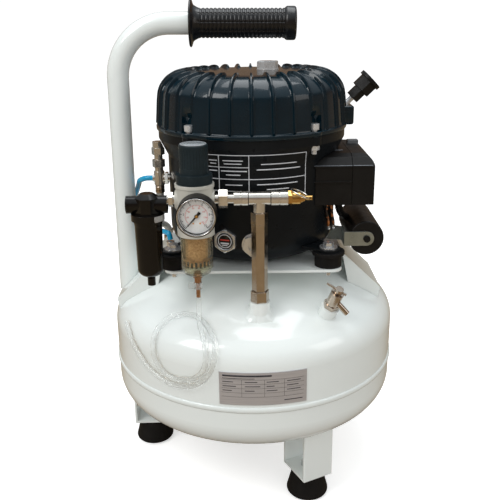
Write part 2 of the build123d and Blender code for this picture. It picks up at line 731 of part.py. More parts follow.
with BuildPart() as capacitor_strap:
    with BuildSketch(Plane.XZ.offset(60.05)):
        with BuildLine():
            Line((CAP_X, CAP_Z + 8.3), (104, CAP_Z + 8.3))
            Line((104, CAP_Z + 8.3), (104, CAP_Z - 8.3))
            Line((104, CAP_Z - 8.3), (CAP_X, CAP_Z - 8.3))
            ThreePointArc((CAP_X, CAP_Z - 8.3), (CAP_X + 8.3, CAP_Z), (CAP_X, CAP_Z + 8.3))
        make_face()
        with Locations((CAP_X, CAP_Z)):
            Circle(3.9, mode=Mode.SUBTRACT)
    extrude(amount=1.6)
    with BuildSketch(Plane.XY.offset(CAP_Z - 8.3)):
        with BuildLine():
            Polyline((104, -61.65), (105.6, -61.65), (105.6, -38), (84, -30), (84, -31.8), (104, -39.2), close=True)
        make_face()
    extrude(amount=16.6)
    add(bowl_env.part, mode=Mode.SUBTRACT)
capacitor_strap.part.label = "capacitor_strap"
export_step(capacitor_strap.part, "parts/capacitor_strap.step")

# three insulated leads between the box and the terminals on the bowl
WIRE_R = 1.3
LEADS = (
    ((79.6, -66.0, BOX_Z0), (79.6, -66.0, 322), (77.0, -68.5, 313), (77.5, -69.3, 301.8)),
    ((84.6, -63.0, BOX_Z0), (84.6, -63.0, 320), (87.2, -61.0, 311), (84.0, -62.5, 301.8)),
    ((90.0, -58.0, BOX_Z0), (90.0, -58.0, 324), (93.5, -56.5, 312), (90.2, -56.5, 301.8)),
)
with BuildPart() as lead_wires:
    for lead in LEADS:
        with BuildLine() as wire:
            FilletPolyline(*lead, radius=[4.5, 3.5])
        with BuildSketch(Plane(origin=lead[0], z_dir=(0, 0, -1))):
            Circle(WIRE_R)
        sweep(path=wire.wires()[0])
    # terminal strip the leads end in
    with BuildSketch(Plane.XY.offset(292.4)):
        with BuildLine():
            Polyline((71.5, -66), (76, -73.5), (94.5, -57), (89, -50), close=True)
        make_face()
    extrude(amount=9.4)
    add(bowl_env.part, mode=Mode.SUBTRACT)
lead_wires.part.label = "lead_wires"
export_step(lead_wires.part, "parts/lead_wires.step")

# --------------------------------------------------------- front air line
with BuildPart() as riser_tube:
    with BuildSketch(Plane.XY.offset(239)):
        with Locations((RISER_X, LINE_Y)):
            Circle(5.95)
    extrude(amount=7)
    with BuildSketch(Plane.XY.offset(246)):
        with Locations((RISER_X, LINE_Y)):
            RegularPolygon(8.6, 6, major_radius=False, rotation=12)
    extrude(amount=12)
    with BuildSketch(Plane.XY.offset(258)):
        with Locations((RISER_X, LINE_Y)):
            RegularPolygon(7.3, 6, major_radius=False, rotation=5)
    extrude(amount=74)
    with BuildSketch(Plane.XY.offset(332)):
        with Locations((RISER_X, LINE_Y)):
            RegularPolygon(7.7, 6, major_radius=False, rotation=5)
    extrude(amount=12.5)
    with BuildSketch(Plane.XY.offset(239)):
        with Locations((RISER_X, LINE_Y)):
            Circle(3.5)
    extrude(amount=110, mode=Mode.SUBTRACT)
riser_tube.part.label = "riser_tube"
export_step(riser_tube.part, "parts/riser_tube.step")

with BuildPart() as tee_fitting:
    with BuildSketch(Plane.YZ.offset(-4.6)):
        with Locations((LINE_Y, LINE_Z)):
            Circle(6.8)
    extrude(amount=23.6)
    with BuildSketch(Plane.XY.offset(344.5)):
        with Locations((RISER_X, LINE_Y)):
            Circle(6.2)
    extrude(amount=LINE_Z - 346.5)
    with BuildSketch(Plane.YZ.offset(-4.6)):
        with Locations((LINE_Y, LINE_Z)):
            Circle(3.5)
    extrude(amount=23.6, mode=Mode.SUBTRACT)
    with BuildSketch(Plane.XY.offset(344.5)):
        with Locations((RISER_X, LINE_Y)):
            Circle(3.0)
    extrude(amount=LINE_Z - 344.5, mode=Mode.SUBTRACT)
tee_fitting.part.label = "tee_fitting"
export_step(tee_fitting.part, "parts/tee_fitting.step")

# turned sleeves either side of the tee
with BuildPart() as line_couplings:
    for x0, ln in ((-19.0, 14.4), (19.0, 17.2)):
        with BuildSketch(Plane.YZ.offset(x0)):
            with Locations((LINE_Y, LINE_Z)):
                Circle(7.6)
                Circle(3.5, mode=Mode.SUBTRACT)
        extrude(amount=ln)
        with BuildSketch(Plane.YZ.offset(x0 + ln * 0.45)):
            with Locations((LINE_Y, LINE_Z)):
                Circle(9)
                Circle(7.1, mode=Mode.SUBTRACT)
        extrude(amount=1.2, mode=Mode.SUBTRACT)
line_couplings.part.label = "line_couplings"
export_step(line_couplings.part, "parts/line_couplings.step")

# two hexagonal nipples: sleeve to regulator, and regulator to outlet filter
with BuildPart() as hex_nipples:
    for x0, x1, h0, h1, af in ((-38.6, -19.0, -34.6, -25.2, 8.6), (-87.2, -79.0, -85.4, -81.0, 6.8)):
        with BuildSketch(Plane.YZ.offset(x0)):
            with Locations((LINE_Y, LINE_Z)):
                Circle(5.0)
        extrude(amount=x1 - x0)
        with BuildSketch(Plane.YZ.offset(h0)):
            with Locations((LINE_Y, LINE_Z)):
                RegularPolygon(af, 6, major_radius=False, rotation=30)
        extrude(amount=h1 - h0)
        with BuildSketch(Plane.YZ.offset(x0)):
            with Locations((LINE_Y, LINE_Z)):
                Circle(3.2)
        extrude(amount=x1 - x0, mode=Mode.SUBTRACT)
hex_nipples.part.label = "hex_nipples"
export_step(hex_nipples.part, "parts/hex_nipples.step")

# safety valve: brass body, spring-loaded stem and pull ring
SV_X0, SV_END = 36.2, 53.4
with BuildPart() as safety_valve_body:
    with BuildSketch(Plane.YZ.offset(SV_X0)):
        with Locations((LINE_Y, LINE_Z)):
            RegularPolygon(6.9, 6, major_radius=False, rotation=30)
    extrude(amount=4.2)
    with BuildSketch(Plane.YZ.offset(SV_X0 + 4.2)):
        with Locations((LINE_Y, LINE_Z)):
            Circle(6.6)
    extrude(amount=8.2)
    with BuildSketch(Plane.YZ.offset(SV_X0 + 12.4)):
        with Locations((LINE_Y, LINE_Z)):
            Circle(5.6)
    with BuildSketch(Plane.YZ.offset(SV_END)):
        with Locations((LINE_Y, LINE_Z)):
            Circle(3.6)
    loft()
    with BuildSketch(Plane.YZ.offset(SV_X0 + 3)):
        with Locations((LINE_Y, LINE_Z)):
            Circle(1.6 + FIT)
    extrude(amount=30, mode=Mode.SUBTRACT)
safety_valve_body.part.label = "safety_valve_body"
export_step(safety_valve_body.part, "parts/safety_valve_body.step")

with BuildPart() as safety_valve_stem:
    with BuildSketch(Plane.YZ.offset(SV_X0 + 4)):
        with Locations((LINE_Y, LINE_Z)):
            Circle(1.6)
    extrude(amount=15)
    with BuildSketch(Plane.YZ.offset(SV_X0 + 18.2)):
        with Locations((LINE_Y, LINE_Z)):
            Circle(2.4)
    extrude(amount=6.4)
    with BuildSketch(Plane.XZ.offset(-LINE_Y - 4)):
        with Locations((SV_X0 + 22, LINE_Z)):
            Circle(1.15)
    extrude(amount=8, mode=Mode.SUBTRACT)
safety_valve_stem.part.label = "safety_valve_stem"
export_step(safety_valve_stem.part, "parts/safety_valve_stem.step")

RING_A = math.radians(26)
RING_R = 10.2
RING_P = Vector(SV_X0 + 22, LINE_Y, LINE_Z)
RING_D = Vector(-math.cos(RING_A), 0, math.sin(RING_A))
RING_C = RING_P + RING_D * RING_R
with BuildPart() as safety_valve_ring:
    with BuildSketch(Plane(origin=RING_P, x_dir=RING_D, z_dir=(0, 1, 0))):
        Circle(0.8)
    revolve(axis=Axis(RING_C, RING_D.cross(Vector(0, 1, 0))))
safety_valve_ring.part.label = "safety_valve_ring"
export_step(safety_valve_ring.part, "parts/safety_valve_ring.step")

# filter-regulator
with BuildPart() as regulator_body:
    with BuildSketch(Plane.XY.offset(322)):
        with Locations((REG_X, LINE_Y)):
            Circle(19.3)
    extrude(amount=53)
    with BuildSketch(Plane.XY.offset(372.5)):
        with Locations((REG_X, LINE_Y)):
            Circle(20.2)
    extrude(amount=3.5)
    with BuildSketch(Plane.YZ.offset(-79.0)):
        with Locations((LINE_Y, LINE_Z)):
            Circle(9.5)
    extrude(amount=40.4)
    with BuildSketch(Plane.XY.offset(376)):
        with Locations((REG_X, LINE_Y)):
            Circle(9.0)
    extrude(amount=20)
    # gauge port boss on the front
    with BuildSketch(Plane.XZ.offset(140)):
        with Locations((GAUGE_X, GAUGE_Z)):
            Circle(7)
    extrude(amount=6)
regulator_body.part.label = "regulator_body"
export_step(regulator_body.part, "parts/regulator_body.step")

with BuildPart() as regulator_knob:
    with BuildSketch(Plane.XY.offset(376.4)):
        with Locations((REG_X, LINE_Y)):
            Circle(18.6)
    extrude(amount=9.4)
    with BuildSketch(Plane.XY.offset(385.8)):
        with Locations((REG_X, LINE_Y)):
            Circle(14.7)
    extrude(amount=30)
    with BuildSketch(Plane.XY.offset(376)):
        with Locations((REG_X, LINE_Y)):
            Circle(9.0 + FIT)
    extrude(amount=20.5, mode=Mode.SUBTRACT)
    with BuildSketch(Plane.XY.offset(392)):
        with Locations((REG_X, LINE_Y)):
            with PolarLocations(15.1, 30):
                Circle(0.75)
    extrude(amount=20, mode=Mode.SUBTRACT)
    chamfer(regulator_knob.edges().filter_by(GeomType.CIRCLE).sort_by(Axis.Z)[-1], 1.0)
regulator_knob.part.label = "regulator_knob"
export_step(regulator_knob.part, "parts/regulator_knob.step")

# pressure gauge: case with a sunk face, dial, needle and window
with BuildPart() as gauge_case:
    with BuildSketch(Plane.XZ.offset(-GAUGE_BACK)):
        with Locations((GAUGE_X, GAUGE_Z)):
            Circle(GAUGE_R)
    extrude(amount=GAUGE_BACK - GAUGE_FRONT)
    with BuildSketch(Plane.XZ.offset(158)):
        with Locations((GAUGE_X, GAUGE_Z)):
            Circle(17.9)
    extrude(amount=10, mode=Mode.SUBTRACT)
    with BuildSketch(Plane.XZ.offset(150)):
        with Locations((GAUGE_X, GAUGE_Z)):
            Circle(0.9)
    extrude(amount=10, mode=Mode.SUBTRACT)
gauge_case.part.label = "gauge_case"
export_step(gauge_case.part, "parts/gauge_case.step")

with BuildPart() as gauge_dial:
    with BuildSketch(Plane.XZ.offset(158)):
        with Locations((GAUGE_X, GAUGE_Z)):
            Circle(17.85)
            Circle(1.2, mode=Mode.SUBTRACT)
    extrude(amount=0.8)
gauge_dial.part.label = "gauge_dial"
export_step(gauge_dial.part, "parts/gauge_dial.step")

NEEDLE_A = math.radians(228.5)
with BuildPart() as gauge_needle:
    with BuildSketch(Plane.XZ.offset(159.6)):
        with BuildLine():
            ca, sa = math.cos(NEEDLE_A), math.sin(NEEDLE_A)
            loc = [(13.6, 0.25), (4.5, 0.75), (0, 1.0), (-5.2, 1.7), (-5.2, -1.7), (0, -1.0), (4.5, -0.75), (13.6, -0.25)]
            Polyline(*[(GAUGE_X + p * ca - q * sa, GAUGE_Z + p * sa + q * ca) for p, q in loc], close=True)
        make_face()
        with Locations((GAUGE_X, GAUGE_Z)):
            Circle(2.0)
    extrude(amount=0.8)
    with BuildSketch(Plane.XZ.offset(152)):
        with Locations((GAUGE_X, GAUGE_Z)):
            Circle(0.84)
    extrude(amount=9)
gauge_needle.part.label = "gauge_needle"
export_step(gauge_needle.part, "parts/gauge_needle.step")

with BuildPart() as gauge_lens:
    with BuildSketch(Plane.XZ.offset(162.6)):
        with Locations((GAUGE_X, GAUGE_Z)):
            Circle(17.85)
    extrude(amount=1.6)
gauge_lens.part.label = "gauge_lens"
export_step(gauge_lens.part, "parts/gauge_lens.step")

# clear filter bowl, open at the top, with the sintered element inside
with BuildPart() as regulator_bowl:
    with BuildSketch(Plane(origin=(REG_X, LINE_Y, 0), x_dir=(1, 0, 0), z_dir=(0, -1, 0))):
        with BuildLine():
            Polyline((3.7, 276.4), (8, 276.4), (14.6, 280.4), (16.8, 286), (16.8, 321.9), (14.8, 321.9), (14.8, 287),
                     (13, 282.4), (7.4, 279), (3.7, 279), close=True)
        make_face()
    revolve(axis=Axis((REG_X, LINE_Y, 0), (0, 0, 1)))
regulator_bowl.part.label = "regulator_bowl"
export_step(regulator_bowl.part, "parts/regulator_bowl.step")

with BuildPart() as filter_element:
    with BuildSketch(Plane.XY.offset(298)):
        with Locations((REG_X, LINE_Y)):
            Circle(11.6)
            Circle(5, mode=Mode.SUBTRACT)
    extrude(amount=23.9)
    with BuildSketch(Plane.XY.offset(290)):
        with Locations((REG_X, LINE_Y)):
            Circle(14.2)
            Circle(3, mode=Mode.SUBTRACT)
    extrude(amount=3)
    with BuildSketch(Plane.XY.offset(293)):
        with Locations((REG_X, LINE_Y)):
            Circle(7)
            Circle(3, mode=Mode.SUBTRACT)
    extrude(amount=5)
filter_element.part.label = "filter_element"
export_step(filter_element.part, "parts/filter_element.step")

with BuildPart() as regulator_drain:
    with BuildSketch(Plane.XY.offset(268)):
        with Locations((REG_X, LINE_Y)):
            Circle(3.65)
    extrude(amount=12)
    with BuildSketch(Plane.XY.offset(276.4 - 2.6)):
        with Locations((REG_X, LINE_Y)):
            Circle(5.0)
    extrude(amount=2.6)
    with BuildSketch(Plane.XY.offset(251)):
        with Locations((REG_X, LINE_Y)):
            Circle(2.3)
    extrude(amount=17)
    with BuildSketch(Plane.XY.offset(249.5)):
        with Locations((REG_X, LINE_Y)):
            Circle(1.1)
    extrude(amount=32, mode=Mode.SUBTRACT)
regulator_drain.part.label = "regulator_drain"
export_step(regulator_drain.part, "parts/regulator_drain.step")

with BuildPart() as drain_collar:
    with BuildSketch(Plane.XY.offset(261)):
        with Locations((REG_X, LINE_Y)):
            Circle(4.6)
        with Locations((REG_X - 7.0, LINE_Y)):
            RectangleRounded(7, 1.8, 0.6)
        with Locations((REG_X, LINE_Y)):
            Circle(2.3 + FIT, mode=Mode.SUBTRACT)
    extrude(amount=6.6)
drain_collar.part.label = "drain_collar"
export_step(drain_collar.part, "parts/drain_collar.step")

# outlet filter
with BuildPart() as filter_head:
    with BuildSketch(Plane.YZ.offset(-129.4)):
        with Locations((LINE_Y, LINE_Z - 5)):
            Circle(9.2)
    extrude(amount=42.2)
    with BuildSketch(Plane.XY.offset(338)):
        with Locations((FIL_X, LINE_Y)):
            Circle(17.2)
    extrude(amount=7)
    with BuildSketch(Plane.XY.offset(345)):
        with Locations((FIL_X, LINE_Y)):
            RegularPolygon(12.2, 8, major_radius=False, rotation=22.5)
    extrude(amount=16.5)
    with BuildSketch(Plane.XY.offset(361.5)):
        with Locations((FIL_X, LINE_Y)):
            RegularPolygon(12.2, 8, major_radius=False, rotation=22.5)
    with BuildSketch(Plane.XY.offset(366)):
        with Locations((FIL_X, LINE_Y)):
            RegularPolygon(6.5, 8, major_radius=False, rotation=22.5)
    loft()
    with BuildSketch(Plane.YZ.offset(-129.4)):
        with Locations((LINE_Y, LINE_Z - 5)):
            Circle(5.72)
    extrude(amount=12, mode=Mode.SUBTRACT)
filter_head.part.label = "filter_head"
export_step(filter_head.part, "parts/filter_head.step")

with BuildPart() as filter_bowl:
    with BuildSketch(Plane(origin=(FIL_X, LINE_Y, 0), x_dir=(1, 0, 0), z_dir=(0, -1, 0))):
        with BuildLine():
            Polyline((3.1, 277), (7.6, 277))
            ThreePointArc((7.6, 277), (11.6, 279.6), (13.6, 284))
            Polyline((13.6, 284), (14.2, 332), (15.4, 337.9), (12, 337.9), (11.6, 286), (7, 280), (3.1, 280), (3.1, 277))
        make_face()
    revolve(axis=Axis((FIL_X, LINE_Y, 0), (0, 0, 1)))
filter_bowl.part.label = "filter_bowl"
export_step(filter_bowl.part, "parts/filter_bowl.step")

with BuildPart() as filter_drain_pin:
    with BuildSketch(Plane.XY.offset(266.0)):
        with Locations((FIL_X, LINE_Y)):
            Circle(4.2)
    extrude(amount=8.2)
    with BuildSketch(Plane.XY.offset(274.2)):
        with Locations((FIL_X, LINE_Y)):
            Circle(3.1 - FIT)
    extrude(amount=8)
filter_drain_pin.part.label = "filter_drain_pin"
export_step(filter_drain_pin.part, "parts/filter_drain_pin.step")

# ------------------------------------------- discharge side, at the left rear
STK_X, STK_Y = -108.0, -20.0
with BuildPart() as discharge_fittings:
    for z0, z1, r, hexed in ((350.5, 366.0, 6.2, False), (366.0, 371.5, 5.0, False), (371.5, 380.0, 6.4, True),
                             (380.0, 386.0, 4.8, False), (386.0, 394.0, 6.6, True), (394.0, 401.0, 6.2, False)):
        with BuildSketch(Plane.XY.offset(z0)):
            with Locations((STK_X, STK_Y)):
                if hexed:
                    RegularPolygon(r, 6, major_radius=False)
                else:
                    Circle(r)
        extrude(amount=z1 - z0)
    with BuildSketch(Plane.YZ.offset(STK_X)):
        with Locations((STK_Y, 358)):
            Circle(4.8)
    extrude(amount=16)
    with BuildSketch(Plane.YZ.offset(STK_X + 7)):
        with Locations((STK_Y, 358)):
            RegularPolygon(6.6, 6, major_radius=False)
    extrude(amount=3.4)
    with BuildSketch(Plane.YZ.offset(-115.5)):
        with Locations((STK_Y, 358)):
            Circle(4.2)
    extrude(amount=8)
    # push-in socket on the base plate for the small line
    with BuildSketch(Plane.XY.offset(PLATE_TOP)):
        with Locations((-97, -34)):
            RegularPolygon(6, 6, major_radius=False)
    extrude(amount=6)
    with BuildSketch(Plane.XY.offset(PLATE_TOP + 6)):
        with Locations((-97, -34)):
            Circle(5)
    extrude(amount=7)
    add(bowl_env.part, mode=Mode.SUBTRACT)
discharge_fittings.part.label = "discharge_fittings"
export_step(discharge_fittings.part, "parts/discharge_fittings.step")

with BuildPart() as check_valve:
    with BuildSketch(Plane.XY.offset(236)):
        with Locations((CHECK_X, CHECK_Y)):
            RegularPolygon(9.5, 6, major_radius=False)
    extrude(amount=10)
    with BuildSketch(Plane.XY.offset(246)):
        with Locations((CHECK_X, CHECK_Y)):
            Circle(8)
    extrude(amount=9)
check_valve.part.label = "check_valve"
export_step(check_valve.part, "parts/check_valve.step")

# braided discharge hose, from the pump's outlet down to the check valve
HOSE_R = 4.6
HOSE_PTS = ((STK_X, STK_Y, 350.4), (STK_X, STK_Y, 334), (-113, -8, 314), (-120, 20, 296), (-121, 52, 283), (-115, 76, 272), (CHECK_X, CHECK_Y, 262), (CHECK_X, CHECK_Y, 255.1))


def corner_radii(pts, share=0.45):
    out = []
    for p, q, r in zip(pts, pts[1:], pts[2:]):
        a, b = Vector(*q) - Vector(*p), Vector(*r) - Vector(*q)
        half = math.radians(a.get_angle(b)) / 2
        out.append(share * min(a.length, b.length) / math.tan(half))
    return out


def held_radii(pts, cap):
    return [min(r, cap) for r in corner_radii(pts)]


with BuildPart() as braided_hose:
    with BuildLine() as hose_path:
        FilletPolyline(*HOSE_PTS, radius=held_radii(HOSE_PTS, 90))
    with BuildSketch(Plane(origin=HOSE_PTS[0], z_dir=(0, 0, -1))):
        Circle(HOSE_R)
    sweep(path=hose_path.wires()[0])
braided_hose.part.label = "braided_hose"
export_step(braided_hose.part, "parts/braided_hose.step")

# small blue line, looping round behind the handle to the socket on the plate
BLUE_R = 3.1
BLUE_PTS = ((-115.6, -20, 358), (-124, -20, 358), (-133.5, -8, 353), (-138.5, 12, 341), (-146.5, 26, 324), (-147, 28, 305),
            (-136, 16, 292), (-121, -4, 289), (-106, -22, 293), (-98.5, -32.5, 294), (-97, -34, 286.5), (-97, -34, 284.7))
with BuildPart() as blue_hose:
    with BuildLine() as blue_path:
        FilletPolyline(*BLUE_PTS[:-1], radius=held_radii(BLUE_PTS[:-1], 60))
    with BuildSketch(Plane(origin=BLUE_PTS[0], z_dir=(-1, 0, 0))):
        Circle(BLUE_R)
    sweep(path=blue_path.wires()[0])
blue_hose.part.label = "blue_hose"
export_step(blue_hose.part, "parts/blue_hose.step")

# --------------------------------------------------------------- drain cock
with BuildPart() as drain_cock_body:
    with BuildSketch(drain_plane.offset(13)):
        RegularPolygon(7.6, 6, major_radius=False)
    extrude(amount=5)
    with BuildSketch(drain_plane.offset(18)):
        Circle(7.2)
    extrude(amount=17)
    with BuildSketch(Plane(origin=DRAIN_P + DRAIN_N * 24, x_dir=(0, 1, 0), z_dir=(0.66, -0.12, -0.74))):
        Circle(3.2)
    extrude(amount=21)
    with BuildSketch(drain_plane.offset(26)):
        Circle(3.0 + FIT)
    extrude(amount=12, mode=Mode.SUBTRACT)
drain_cock_body.part.label = "drain_cock_body"
export_step(drain_cock_body.part, "parts/drain_cock_body.step")

lever_dir = Vector(-0.62, 0.16, 0.77)
lever_dir = (lever_dir - DRAIN_N * lever_dir.dot(DRAIN_N)).normalized()
with BuildPart() as drain_cock_lever:
    with BuildSketch(drain_plane.offset(26.4)):
        Circle(3.0)
    extrude(amount=10)
    with BuildSketch(drain_plane.offset(35.6)):
        Circle(4.4)
    extrude(amount=5.6)
    with BuildSketch(Plane(origin=DRAIN_P + DRAIN_N * 38.4 - lever_dir * 9, z_dir=lever_dir)):
        Circle(1.4)
    extrude(amount=24)
drain_cock_lever.part.label = "drain_cock_lever"
export_step(drain_cock_lever.part, "parts/drain_cock_lever.step")

# ------------------------------------------- clear drain hose (lies free)
# 6 mm soft hose: down from the barb, then a loop and a half on the shoulder
DRAIN_HOSE_R = 3.0
DRAIN_HOSE_PTS = (
    (-58.8, -125.0, 250.9), (-58.8, -125.0, 243.4), (-58.7, -127.7, 235.9), (-58.4, -133.2, 229.4), (-57.2, -141.1, 224.4),
    (-53.9, -150.7, 218.6), (-50.1, -161.9, 206.1), (-50.9, -167.6, 189.0), (-61.2, -163.8, 174.4), (-76.4, -157.1, 168.6),
    (-91.7, -148.4, 168.0), (-105.0, -140.4, 177.1), (-109.9, -135.6, 193.5), (-108.4, -127.3, 209.1), (-98.8, -117.0, 220.4),
    (-82.4, -114.8, 227.1), (-65.8, -120.7, 228.9), (-53.3, -132.9, 226.0), (-45.3, -147.0, 220.2), (-40.3, -161.3, 210.4),
    (-41.7, -169.1, 194.6), (-49.2, -167.9, 178.1), (-61.4, -163.9, 166.4), (-76.6, -156.9, 160.8), (-91.8, -148.5, 160.4),
    (-105.9, -138.8, 164.1), (-118.5, -129.3, 171.6), (-128.4, -118.7, 181.1), (-137.0, -107.8, 191.7), (-142.9, -94.6, 201.3),
    (-145.0, -87.0, 205.2),
)
drain_hose_radii = corner_radii(DRAIN_HOSE_PTS)
with BuildPart() as clear_hose:
    with BuildLine() as drain_hose_path:
        FilletPolyline(*DRAIN_HOSE_PTS, radius=drain_hose_radii)
    with BuildSketch(Plane(origin=DRAIN_HOSE_PTS[0], z_dir=(0, 0, -1))):
        Circle(DRAIN_HOSE_R)
    sweep(path=drain_hose_path.wires()[0])
clear_hose.part.label = "clear_hose"
export_step(clear_hose.part, "parts/clear_hose.step")
print("clear_hose radii", [round(r, 1) for r in drain_hose_radii])
print("clear_hose length", round(drain_hose_path.wires()[0].length, 1), "volume ratio",
      round(clear_hose.part.volume / (math.pi * DRAIN_HOSE_R ** 2 * drain_hose_path.wires()[0].length), 4))
for held, path, r in ((braided_hose, hose_path, HOSE_R), (blue_hose, blue_path, BLUE_R)):
    print(held.part.label, "length", round(path.wires()[0].length, 1), "volume ratio",
          round(held.part.volume / (math.pi * r ** 2 * path.wires()[0].length), 4))
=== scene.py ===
import bpy
import bmesh
import json
from math import sin, cos, acos, tan, radians, degrees, pi, sqrt, hypot, atan2
from mathutils import Vector, Matrix, noise


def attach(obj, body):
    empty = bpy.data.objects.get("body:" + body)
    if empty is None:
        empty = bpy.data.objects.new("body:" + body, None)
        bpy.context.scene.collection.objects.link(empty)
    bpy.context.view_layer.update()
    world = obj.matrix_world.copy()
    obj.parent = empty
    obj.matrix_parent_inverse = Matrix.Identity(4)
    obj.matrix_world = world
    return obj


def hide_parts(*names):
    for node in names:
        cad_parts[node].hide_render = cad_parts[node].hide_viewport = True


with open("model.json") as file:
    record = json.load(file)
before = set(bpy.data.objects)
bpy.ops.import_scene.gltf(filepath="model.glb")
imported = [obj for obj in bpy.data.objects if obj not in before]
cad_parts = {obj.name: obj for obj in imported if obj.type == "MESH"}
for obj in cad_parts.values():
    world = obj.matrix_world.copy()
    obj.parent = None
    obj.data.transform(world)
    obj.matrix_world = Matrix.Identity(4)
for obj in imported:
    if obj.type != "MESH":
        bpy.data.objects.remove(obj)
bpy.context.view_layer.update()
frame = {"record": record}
MM = 0.001


# ------------------------------------------------------------------ materials
class Mat:
    """A small helper around one node-based Principled material."""

    def __init__(self, name):
        self.m = bpy.data.materials.new(name)
        self.m.use_nodes = True
        self.nt = self.m.node_tree
        self.nt.nodes.clear()
        self.out = self.nt.nodes.new("ShaderNodeOutputMaterial")
        self.b = self.nt.nodes.new("ShaderNodeBsdfPrincipled")
        self.nt.links.new(self.b.outputs[0], self.out.inputs[0])
        self.tc = self.nt.nodes.new("ShaderNodeTexCoord")

    def node(self, kind, **inp):
        n = self.nt.nodes.new(kind)
        for k, v in inp.items():
            n.inputs[k.replace("_", " ")].default_value = v
        return n

    def link(self, a, b):
        self.nt.links.new(a, b)

    def noise(self, scale, detail=4.0, rough=0.55, stretch=None, kind="ShaderNodeTexNoise"):
        n = self.nt.nodes.new(kind)
        n.inputs["Scale"].default_value = scale
        if "Detail" in n.inputs:
            n.inputs["Detail"].default_value = detail
        if "Roughness" in n.inputs:
            n.inputs["Roughness"].default_value = rough
        src = self.tc.outputs["Object"]
        if stretch:
            mp = self.nt.nodes.new("ShaderNodeMapping")
            mp.inputs["Scale"].default_value = stretch
            self.link(src, mp.inputs["Vector"])
            src = mp.outputs["Vector"]
        self.link(src, n.inputs["Vector"])
        return n

    def ramp(self, fac, stops):
        r = self.nt.nodes.new("ShaderNodeValToRGB")
        el = r.color_ramp.elements
        el[0].position, el[0].color = stops[0][0], (*stops[0][1], 1)
        el[1].position, el[1].color = stops[-1][0], (*stops[-1][1], 1)
        for p, c in stops[1:-1]:
            e = el.new(p)
            e.color = (*c, 1)
        self.link(fac, r.inputs["Fac"])
        return r

    def maprange(self, fac, a, b, lo, hi):
        r = self.nt.nodes.new("ShaderNodeMapRange")
        r.inputs["From Min"].default_value = a
        r.inputs["From Max"].default_value = b
        r.inputs["To Min"].default_value = lo
        r.inputs["To Max"].default_value = hi
        self.link(fac, r.inputs["Value"])
        return r


def surface(name, lo, hi, rough=(0.3, 0.4), metal=0.0, scale=40.0, bump=0.1, bump_scale=300.0,
            bump_dist=0.0002, coat=0.0, coat_rough=0.1, spec=0.5, bevel=0.0, wear=None,
            wear_amount=0.6, stretch=None, transmission=0.0, ior=1.5, sheen=0.0, detail=5.0,
            alpha=None, sss=0.0, voronoi=False, aniso=0.0, stops=(0.3, 0.7)):
    s = Mat(name)
    n1 = s.noise(scale, detail, stretch=stretch)
    col = s.ramp(n1.outputs["Fac"], [(stops[0], lo), (stops[1], hi)])
    colour = col.outputs["Color"]
    n2 = s.noise(scale * 3.1, 6.0, stretch=stretch)
    r = s.maprange(n2.outputs["Fac"], 0.3, 0.7, rough[0], rough[1])
    s.link(r.outputs["Result"], s.b.inputs["Roughness"])
    normal = None
    if bevel:
        bv = s.node("ShaderNodeBevel", Radius=bevel)
        bv.samples = 4
        normal = bv.outputs["Normal"]
        if wear:
            geo = s.nt.nodes.new("ShaderNodeNewGeometry")
            dot = s.nt.nodes.new("ShaderNodeVectorMath")
            dot.operation = "DOT_PRODUCT"
            s.link(bv.outputs["Normal"], dot.inputs[0])
            s.link(geo.outputs["Normal"], dot.inputs[1])
            edge = s.maprange(dot.outputs["Value"], 0.998, 0.93, 0.0, wear_amount)
            nw = s.noise(scale * 6, 4.0)
            thr = s.maprange(nw.outputs["Fac"], 0.42, 0.62, 0.0, 1.0)
            mul = s.nt.nodes.new("ShaderNodeMath")
            mul.operation = "MULTIPLY"
            s.link(edge.outputs["Result"], mul.inputs[0])
            s.link(thr.outputs["Result"], mul.inputs[1])
            mix = s.nt.nodes.new("ShaderNodeMix")
            mix.data_type = "RGBA"
            s.link(mul.outputs[0], mix.inputs["Factor"])
            s.link(colour, mix.inputs["A"])
            mix.inputs["B"].default_value = (*wear, 1)
            colour = mix.outputs["Result"]
    s.link(colour, s.b.inputs["Base Color"])
    if bump:
        nb = s.noise(bump_scale, 3.0, stretch=stretch, kind="ShaderNodeTexVoronoi" if voronoi else "ShaderNodeTexNoise")
        bp = s.node("ShaderNodeBump", Strength=bump, Distance=bump_dist)
        s.link(nb.outputs["Distance" if voronoi else "Fac"], bp.inputs["Height"])
        if normal is not None:
            s.link(normal, bp.inputs["Normal"])
        normal = bp.outputs["Normal"]
    if normal is not None:
        s.link(normal, s.b.inputs["Normal"])
    s.b.inputs["Metallic"].default_value = metal
    s.b.inputs["Coat Weight"].default_value = coat
    s.b.inputs["Coat Roughness"].default_value = coat_rough
    s.b.inputs["Specular IOR Level"].default_value = spec
    s.b.inputs["IOR"].default_value = ior
    s.b.inputs["Transmission Weight"].default_value = transmission
    s.b.inputs["Sheen Weight"].default_value = sheen
    s.b.inputs["Anisotropic"].default_value = aniso
    if sss:
        s.b.inputs["Subsurface Weight"].default_value = sss
        s.b.inputs["Subsurface Scale"].default_value = 0.002
    if alpha is not None:
        s.b.inputs["Alpha"].default_value = alpha
    return s


